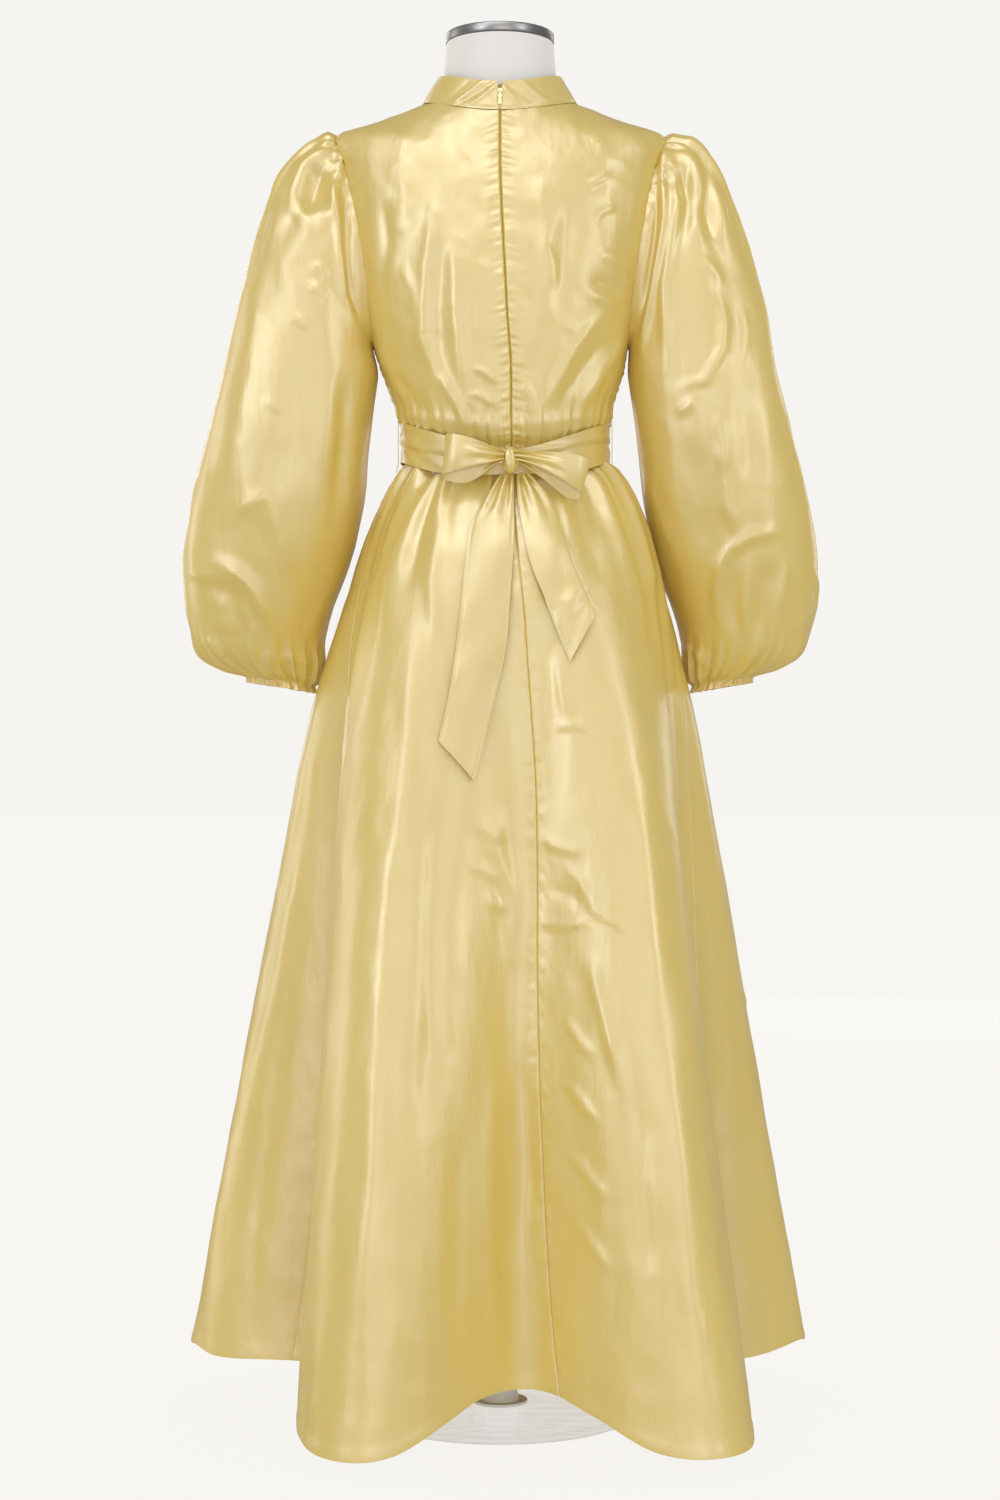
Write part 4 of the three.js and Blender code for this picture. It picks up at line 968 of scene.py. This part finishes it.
def sleeve(name, side):
    share = spread(0, 1, 64)
    v = np.concatenate((share ** 1.2, 1 + spread(0, 0.82, 66)[1:],
                        1 + spread(0.82, 1, 42)[1:]))[:, None]
    columns = int(170 * QUICK)
    turn = (np.arange(columns) / columns)[None, :]
    points = sleeve_point(side, turn, v)
    turn, v = np.broadcast_arrays(turn, v)
    outward = unit(points - points.mean(axis=1, keepdims=True))
    out = sleeve_out(side, turn, v, points, normals_of(points, outward, True))
    piece = settle(cloth(name, points, out, outward, True), "yellow_satin", name)


# ---- collar, sash and bow ----
COLLAR_CREASES = (               # azimuth, slant, width, height
    (-12, 26, 2.2, 1.5), (-20, 30, 2.4, -1.4), (-27, 24, 2.6, 1.5), (-37, 20, 3.2, -0.9),
    (-6, -16, 1.8, 1.1), (8, -18, 2.2, 1.1), (17, -24, 3.0, -0.9), (30, -22, 3.6, 0.9),
    (-140, 24, 4.0, 0.9), (-168, 18, 3.4, -0.9), (150, -22, 4.0, 0.9), (176, -20, 3.4, 0.8),
)


def collar():
    at = spread(0, 1, 22)[:, None]
    notch = COLLAR_NOTCH * smooth((at - 0.55) / 0.4)
    azimuth = mix(notch, 360 - notch, spread(0, 1, 300)[None, :])
    points = collar_point(azimuth, at)
    at = np.broadcast_to(at, azimuth.shape)
    place = wrap_degrees(azimuth)
    out = np.zeros(place.shape)
    for middle, slant, width, height in COLLAR_CREASES:
        out += height * bump((place - middle - slant * (at - 0.5)) / width)
    out = (out + 0.5 * drape(points, 22, 16, 13)) * smooth(at / 0.25) * smooth((1.05 - at) / 0.2)
    out -= 1.1 * bump((at - 0.05) / 0.045) + 1.5 * bump(place / 0.9)
    piece = settle(cloth("collar", points, out, outward_of(points)), "yellow_satin", "collar")


def sash_band():
    columns = int(300 * QUICK)
    azimuth = (np.arange(columns) * 360 / columns)[None, :]
    share = spread(0, 1, 22)[:, None]
    points = sash_point(azimuth, share)
    azimuth, share = np.broadcast_arrays(azimuth, share)
    line = 0.5 + 0.12 * np.sin(np.radians(azimuth * 2 + 40))
    out = -1.5 * bump((share - line) / 0.07) + 0.9 * bump((share - line - 0.14) / 0.09)
    out += 0.8 * ripple(azimuth + 60 * share, 33, 2.0)
    piece = settle(cloth("sash_band", points, out, outward_of(points), True),
                   "yellow_satin_sash", "sash_band")


def from_photo(px, py, out):
    """The place, out before the axis, that falls on a pixel of the back view."""
    distance = (CAMERA_DISTANCE - out) / FOCAL
    return points_of((px - FRAME_MIDDLE[0]) * distance, -np.asarray(out, float),
                     CAMERA_HEIGHT - (py - FRAME_MIDDLE[1]) * distance)


LOOPS = {                        # a loop's edges from the knot out, round and back
    "bow_loop_left": table(
        "at xT yT xB yB out",
        (0.0, 504, 450, 504, 459, 117), (0.13, 490, 445, 491, 462, 124),
        (0.26, 472, 438, 471, 466, 128), (0.40, 455, 434, 453, 471, 126),
        (0.50, 447, 434, 442, 475, 119), (0.56, 446, 438, 446, 480, 113),
        (0.68, 460, 443, 464, 483, 110), (0.80, 477, 447, 479, 477, 109),
        (0.92, 495, 451, 494, 465, 110), (1.0, 504, 453, 504, 460, 112)),
    "bow_loop_right": table(
        "at xT yT xB yB out",
        (0.0, 513, 451, 513, 459, 117), (0.12, 530, 451, 533, 464, 124),
        (0.26, 556, 452, 555, 475, 128), (0.40, 578, 455, 571, 485, 125),
        (0.50, 589, 460, 580, 492, 119), (0.56, 588, 466, 579, 498, 113),
        (0.68, 568, 462, 566, 497, 110), (0.80, 547, 458, 546, 481, 109),
        (0.92, 525, 455, 525, 466, 110), (1.0, 513, 453, 513, 460, 112)),
}


def bow_loop(name):
    rows = LOOPS[name]
    along = spread(0, 1, 90)[:, None]
    share = spread(0, 1, 28)[None, :]
    px = mix(sample(rows, "xT", along), sample(rows, "xB", along), share)
    py = mix(sample(rows, "yT", along), sample(rows, "yB", along), share)
    out = sample(rows, "out", along) + 0 * share
    near_knot = np.maximum(1 - smooth(along / 0.4), smooth((along - 0.75) / 0.25))
    out = out + 3.0 * np.cos(4 * np.pi * share + 0.4) * near_knot + 2.4 * np.sin(np.pi * share)
    points = from_photo(px, py, out)
    normals = grid_normals(points, False)
    piece = settle(shell(name, points + normals * (CLOTH / 2), -normals), "yellow_satin_sash", name)


TAIL_WIDTH = 45
BACKWARD = np.array((0.0, -1.0, 0.0))


def bow_tail(name):
    rows = dict(TAILS[name])
    rows["at"] = np.linspace(0, 1, len(rows["xA"]))
    at = spread(0, 1, 120)[:, None]
    share = spread(0, 1, 36)[None, :]
    x = mix(sample(rows, "xA", at), sample(rows, "xB", at), share)
    z = mix(sample(rows, "zA", at), sample(rows, "zB", at), share)
    pleat = 1 - smooth(at / 0.33)
    out = sample(rows, "out", at) + 2.5 * np.sin(np.pi * share)
    out = out + 3.6 * np.cos(2 * np.pi * (share * 2.4 - 0.2)) * pleat * smooth(at / 0.05 + 0.3)
    out = out + 1.0 * ripple(at * 10 + share * 2, 3.7, 1.9) * (1 - pleat)
    points = on_skirt_back(x, z, out)
    edge = np.minimum(share, 1 - share) * TAIL_WIDTH + 0 * at
    stitches = -0.4 * bump((edge - 2.5) / 0.8)
    piece = settle(cloth(name, points, stitches, BACKWARD), "yellow_satin_sash", name)


def bow_knot():
    turn = (np.arange(KNOT_COLUMNS) / KNOT_COLUMNS)[None, :] * 2 * np.pi
    rise = np.linspace(-1, 1, KNOT_ROWS)[:, None]
    girth = np.clip(1 - np.abs(rise) ** 2.6, 0.02, 1) ** 0.5
    pleat = 1 + 0.12 * np.cos(turn * 6 + 1.6 * rise + 0.6) * (1 - rise ** 4)
    points = points_of(
        KNOT["x"] + KNOT["half"] * np.cos(turn) * girth * pleat,
        KNOT["y"] + KNOT["deep"] * np.sin(turn) * girth * pleat,
        KNOT["z"] + KNOT["tall"] * rise + 0 * turn)
    settle(rings_solid("bow_knot", points), "yellow_satin_sash", "bow_knot")


# ---- dress form ----
def form_torso():
    azimuth = np.arange(TORSO_COLUMNS) * 360 / TORSO_COLUMNS
    rings = []
    for z in np.linspace(FORM_RINGS["z"][0], FORM_RINGS["z"][-1], 16):
        ring = {name: sample(FORM_RINGS, name, z, "z") for name in ("half", "back", "front")}
        rings.append(ring_point({**ring, "zSide": z, "zBack": z, "zFront": z}, azimuth))
    for at in np.linspace(0, 1, 40):
        ring = row_at(BODICE, at)
        drop = TORSO_GAP * smooth((at - 0.6) / 0.3)
        for name in ("half", "back", "front"):
            ring[name] = ring[name] - TORSO_GAP
        for name in ("zSide", "zBack", "zFront"):
            ring[name] = ring[name] - drop
        rings.append(ring_point(ring, azimuth))
    for z, half, depth in FORM_NECK:
        ring = {"half": half, "back": depth, "front": depth, "zSide": z, "zBack": z, "zFront": z}
        rings.append(ring_point(ring, azimuth))
    settle(rings_solid("form_torso", rings), "form_white", "form_torso")


def lathe(name, profile, segments, slot):
    """A solid turned from radii and heights."""
    turn = np.arange(segments) * 2 * np.pi / segments
    rings = [points_of(r * np.cos(turn), r * np.sin(turn), z) for r, z in profile]
    settle(rings_solid(name, rings), slot, name)


form_torso()
lathe("form_cap", CAP_PROFILE, 128, "brushed_steel")
skirt_panel("skirt_back_left", 160, 205, (seam_left, skirt_back_seam), SIDE_SEAM, CENTRE_SEAM)
skirt_panel("skirt_back_right", 140, 205, (skirt_back_seam, seam_right), CENTRE_SEAM, SIDE_SEAM)
skirt_panel("skirt_front", 236, 180, (seam_right, lambda at: 360 + seam_left(at)), SIDE_SEAM,
            SIDE_SEAM)
bodice_panel("bodice_back_left", 96, 190,
             lambda u, at: mix(-panel_reach(at, ARMHOLE["back_cut"]), bodice_back_line(at), u),
             ARMHOLE_SEAM, ZIP_SEAM)
bodice_panel("bodice_back_right", 96, 190,
             lambda u, at: mix(bodice_back_line(at), panel_reach(at, ARMHOLE["back_cut"]), u),
             ZIP_SEAM, ARMHOLE_SEAM)
bodice_panel("bodice_front", 150, 120,
             lambda u, at: 180 + mix(-panel_reach(at, ARMHOLE["front_cut"]),
                                     panel_reach(at, ARMHOLE["front_cut"]), u),
             ARMHOLE_SEAM, ARMHOLE_SEAM)
sleeve("sleeve_left", -1)
sleeve("sleeve_right", 1)
collar()
sash_band()
bow_knot()
for loop_name in LOOPS:
    bow_loop(loop_name)
for tail_name in TAILS:
    bow_tail(tail_name)

# Nodes that keep their own solid in the picture, with the material slot of each.
NODE_SLOTS = {"form_pole": "pole_white", "form_hub": "pole_white", "form_base": "clear_glass",
              "zip_tape": "zip_tape", "zip_slider": "zip_metal", "zip_pull": "zip_metal",
              "belt_loop_left": "yellow_satin", "belt_loop_right": "yellow_satin"}
for node_name, slot_name in NODE_SLOTS.items():
    node = bpy.data.objects[node_name]
    node.data.materials.clear()
    node.data.materials.append(MATERIALS[slot_name])


# ---- floor, lights and camera, in metres ----
FLOOR_HALF = 30
FLOOR_GLOW = (0.906, 0.889, 0.855, 1)
FLOOR_GRAIN = ((0.030, 0.0295, 0.029), (0.033, 0.0325, 0.032))
WORLD = {"diffuse": (0.92, 0.905, 0.88), "glossy": (0.27, 0.265, 0.255),
         "camera": (0.922, 0.905, 0.871)}
# Each light: name, place, target, width and height, power in watts, and what it lights.
LIGHTS = (
    ("fill", (0.4, -5.0, 1.1), (0, 0, 0.75), (3.0, 1.8), 42, "all"),
    ("gloss_left", (-3.6, -4.2, 2.5), (0, 0, 0.8), (1.3, 3.2), 92, "gloss"),
    ("gloss_right", (3.8, -3.7, 2.5), (0, 0, 0.8), (1.0, 3.2), 60, "gloss"),
    ("top", (-0.5, -2.8, 4.4), (0, 0, 1.2), (3.2, 2.0), 95, "gloss"),
    ("front_left", (-4.6, 1.9, 1.6), (0, 0, 0.8), (1.2, 3.6), 36, "all"),
    ("front_gloss_left", (-2.6, 4.6, 2.5), (0, 0, 0.8), (1.0, 3.2), 36, "gloss"),
    ("front_gloss_right", (3.2, 4.2, 2.5), (0, 0, 0.8), (0.8, 3.2), 24, "gloss"),
    ("front_fill", (1.4, 5.0, 1.7), (0, 0, 0.8), (3.0, 3.0), 60, "diffuse"),
)


def stage():
    half = FLOOR_HALF
    mesh = bpy.data.meshes.new("floor")
    mesh.from_pydata([(-half, -half, 0), (half, -half, 0), (half, half, 0), (-half, half, 0)], [],
                     [(0, 1, 2, 3)])
    floor = bpy.data.objects.new("floor", mesh)
    bpy.context.scene.collection.objects.link(floor)

    def build(nodes, links, shader):
        grain = noise(nodes, links, 3, 2)
        links.new(ramp(nodes, links, grain, *FLOOR_GRAIN), shader.inputs["Base Color"])
    floor.data.materials.append(material(
        "floor", (0.2, 0.2, 0.2), 0.9, build, Specular_IOR_Level=0.0,
        Emission_Color=FLOOR_GLOW, Emission_Strength=1.0))
    floor.visible_diffuse = floor.visible_glossy = False


def area_light(name, place, target, size, power, shows):
    data = bpy.data.lights.new(name, "AREA")
    data.shape = "RECTANGLE"
    data.size, data.size_y = size
    data.energy = power
    light = bpy.data.objects.new(name, data)
    light.location = place
    direction = np.array(target, float) - np.array(place, float)
    flat = math.hypot(direction[0], direction[1])
    light.rotation_euler = (math.pi / 2 - math.atan2(-direction[2], flat), 0,
                            math.atan2(direction[1], direction[0]) - math.pi / 2)
    light.visible_diffuse = shows != "gloss"
    light.visible_glossy = shows != "diffuse"
    bpy.context.scene.collection.objects.link(light)


def world():
    """A backdrop with its own colour for diffuse, glossy and camera rays."""
    made = bpy.data.worlds.new("studio")
    made.use_nodes = True
    nodes, links = made.node_tree.nodes, made.node_tree.links
    paths = nodes.new("ShaderNodeLightPath")
    colour = WORLD["diffuse"]
    for ray in ("Glossy", "Camera"):
        chosen = nodes.new("ShaderNodeMix")
        chosen.data_type = "RGBA"
        dark, light = [socket for socket in chosen.inputs if socket.type == "RGBA"]
        if isinstance(colour, tuple):
            dark.default_value = (*colour, 1)
        else:
            links.new(colour, dark)
        light.default_value = (*WORLD[ray.lower()], 1)
        links.new(paths.outputs[f"Is {ray} Ray"], chosen.inputs[0])
        colour = [socket for socket in chosen.outputs if socket.type == "RGBA"][0]
    links.new(colour, nodes["Background"].inputs["Color"])
    bpy.context.scene.world = made


stage()
world()
for light_row in LIGHTS:
    area_light(*light_row)

camera_data = bpy.data.cameras.new("camera")
camera_data.sensor_fit = "VERTICAL"
camera_data.sensor_height = SENSOR_HEIGHT
camera_data.lens = SENSOR_HEIGHT * FOCAL / (2 * FRAME_MIDDLE[1])
camera = bpy.data.objects.new("camera", camera_data)
camera.location = (0, -CAMERA_DISTANCE * MM, CAMERA_HEIGHT * MM)
camera.rotation_euler = (math.pi / 2, 0, 0)
bpy.context.scene.collection.objects.link(camera)
bpy.context.scene.camera = camera
bpy.context.scene.view_settings.view_transform = "Standard"
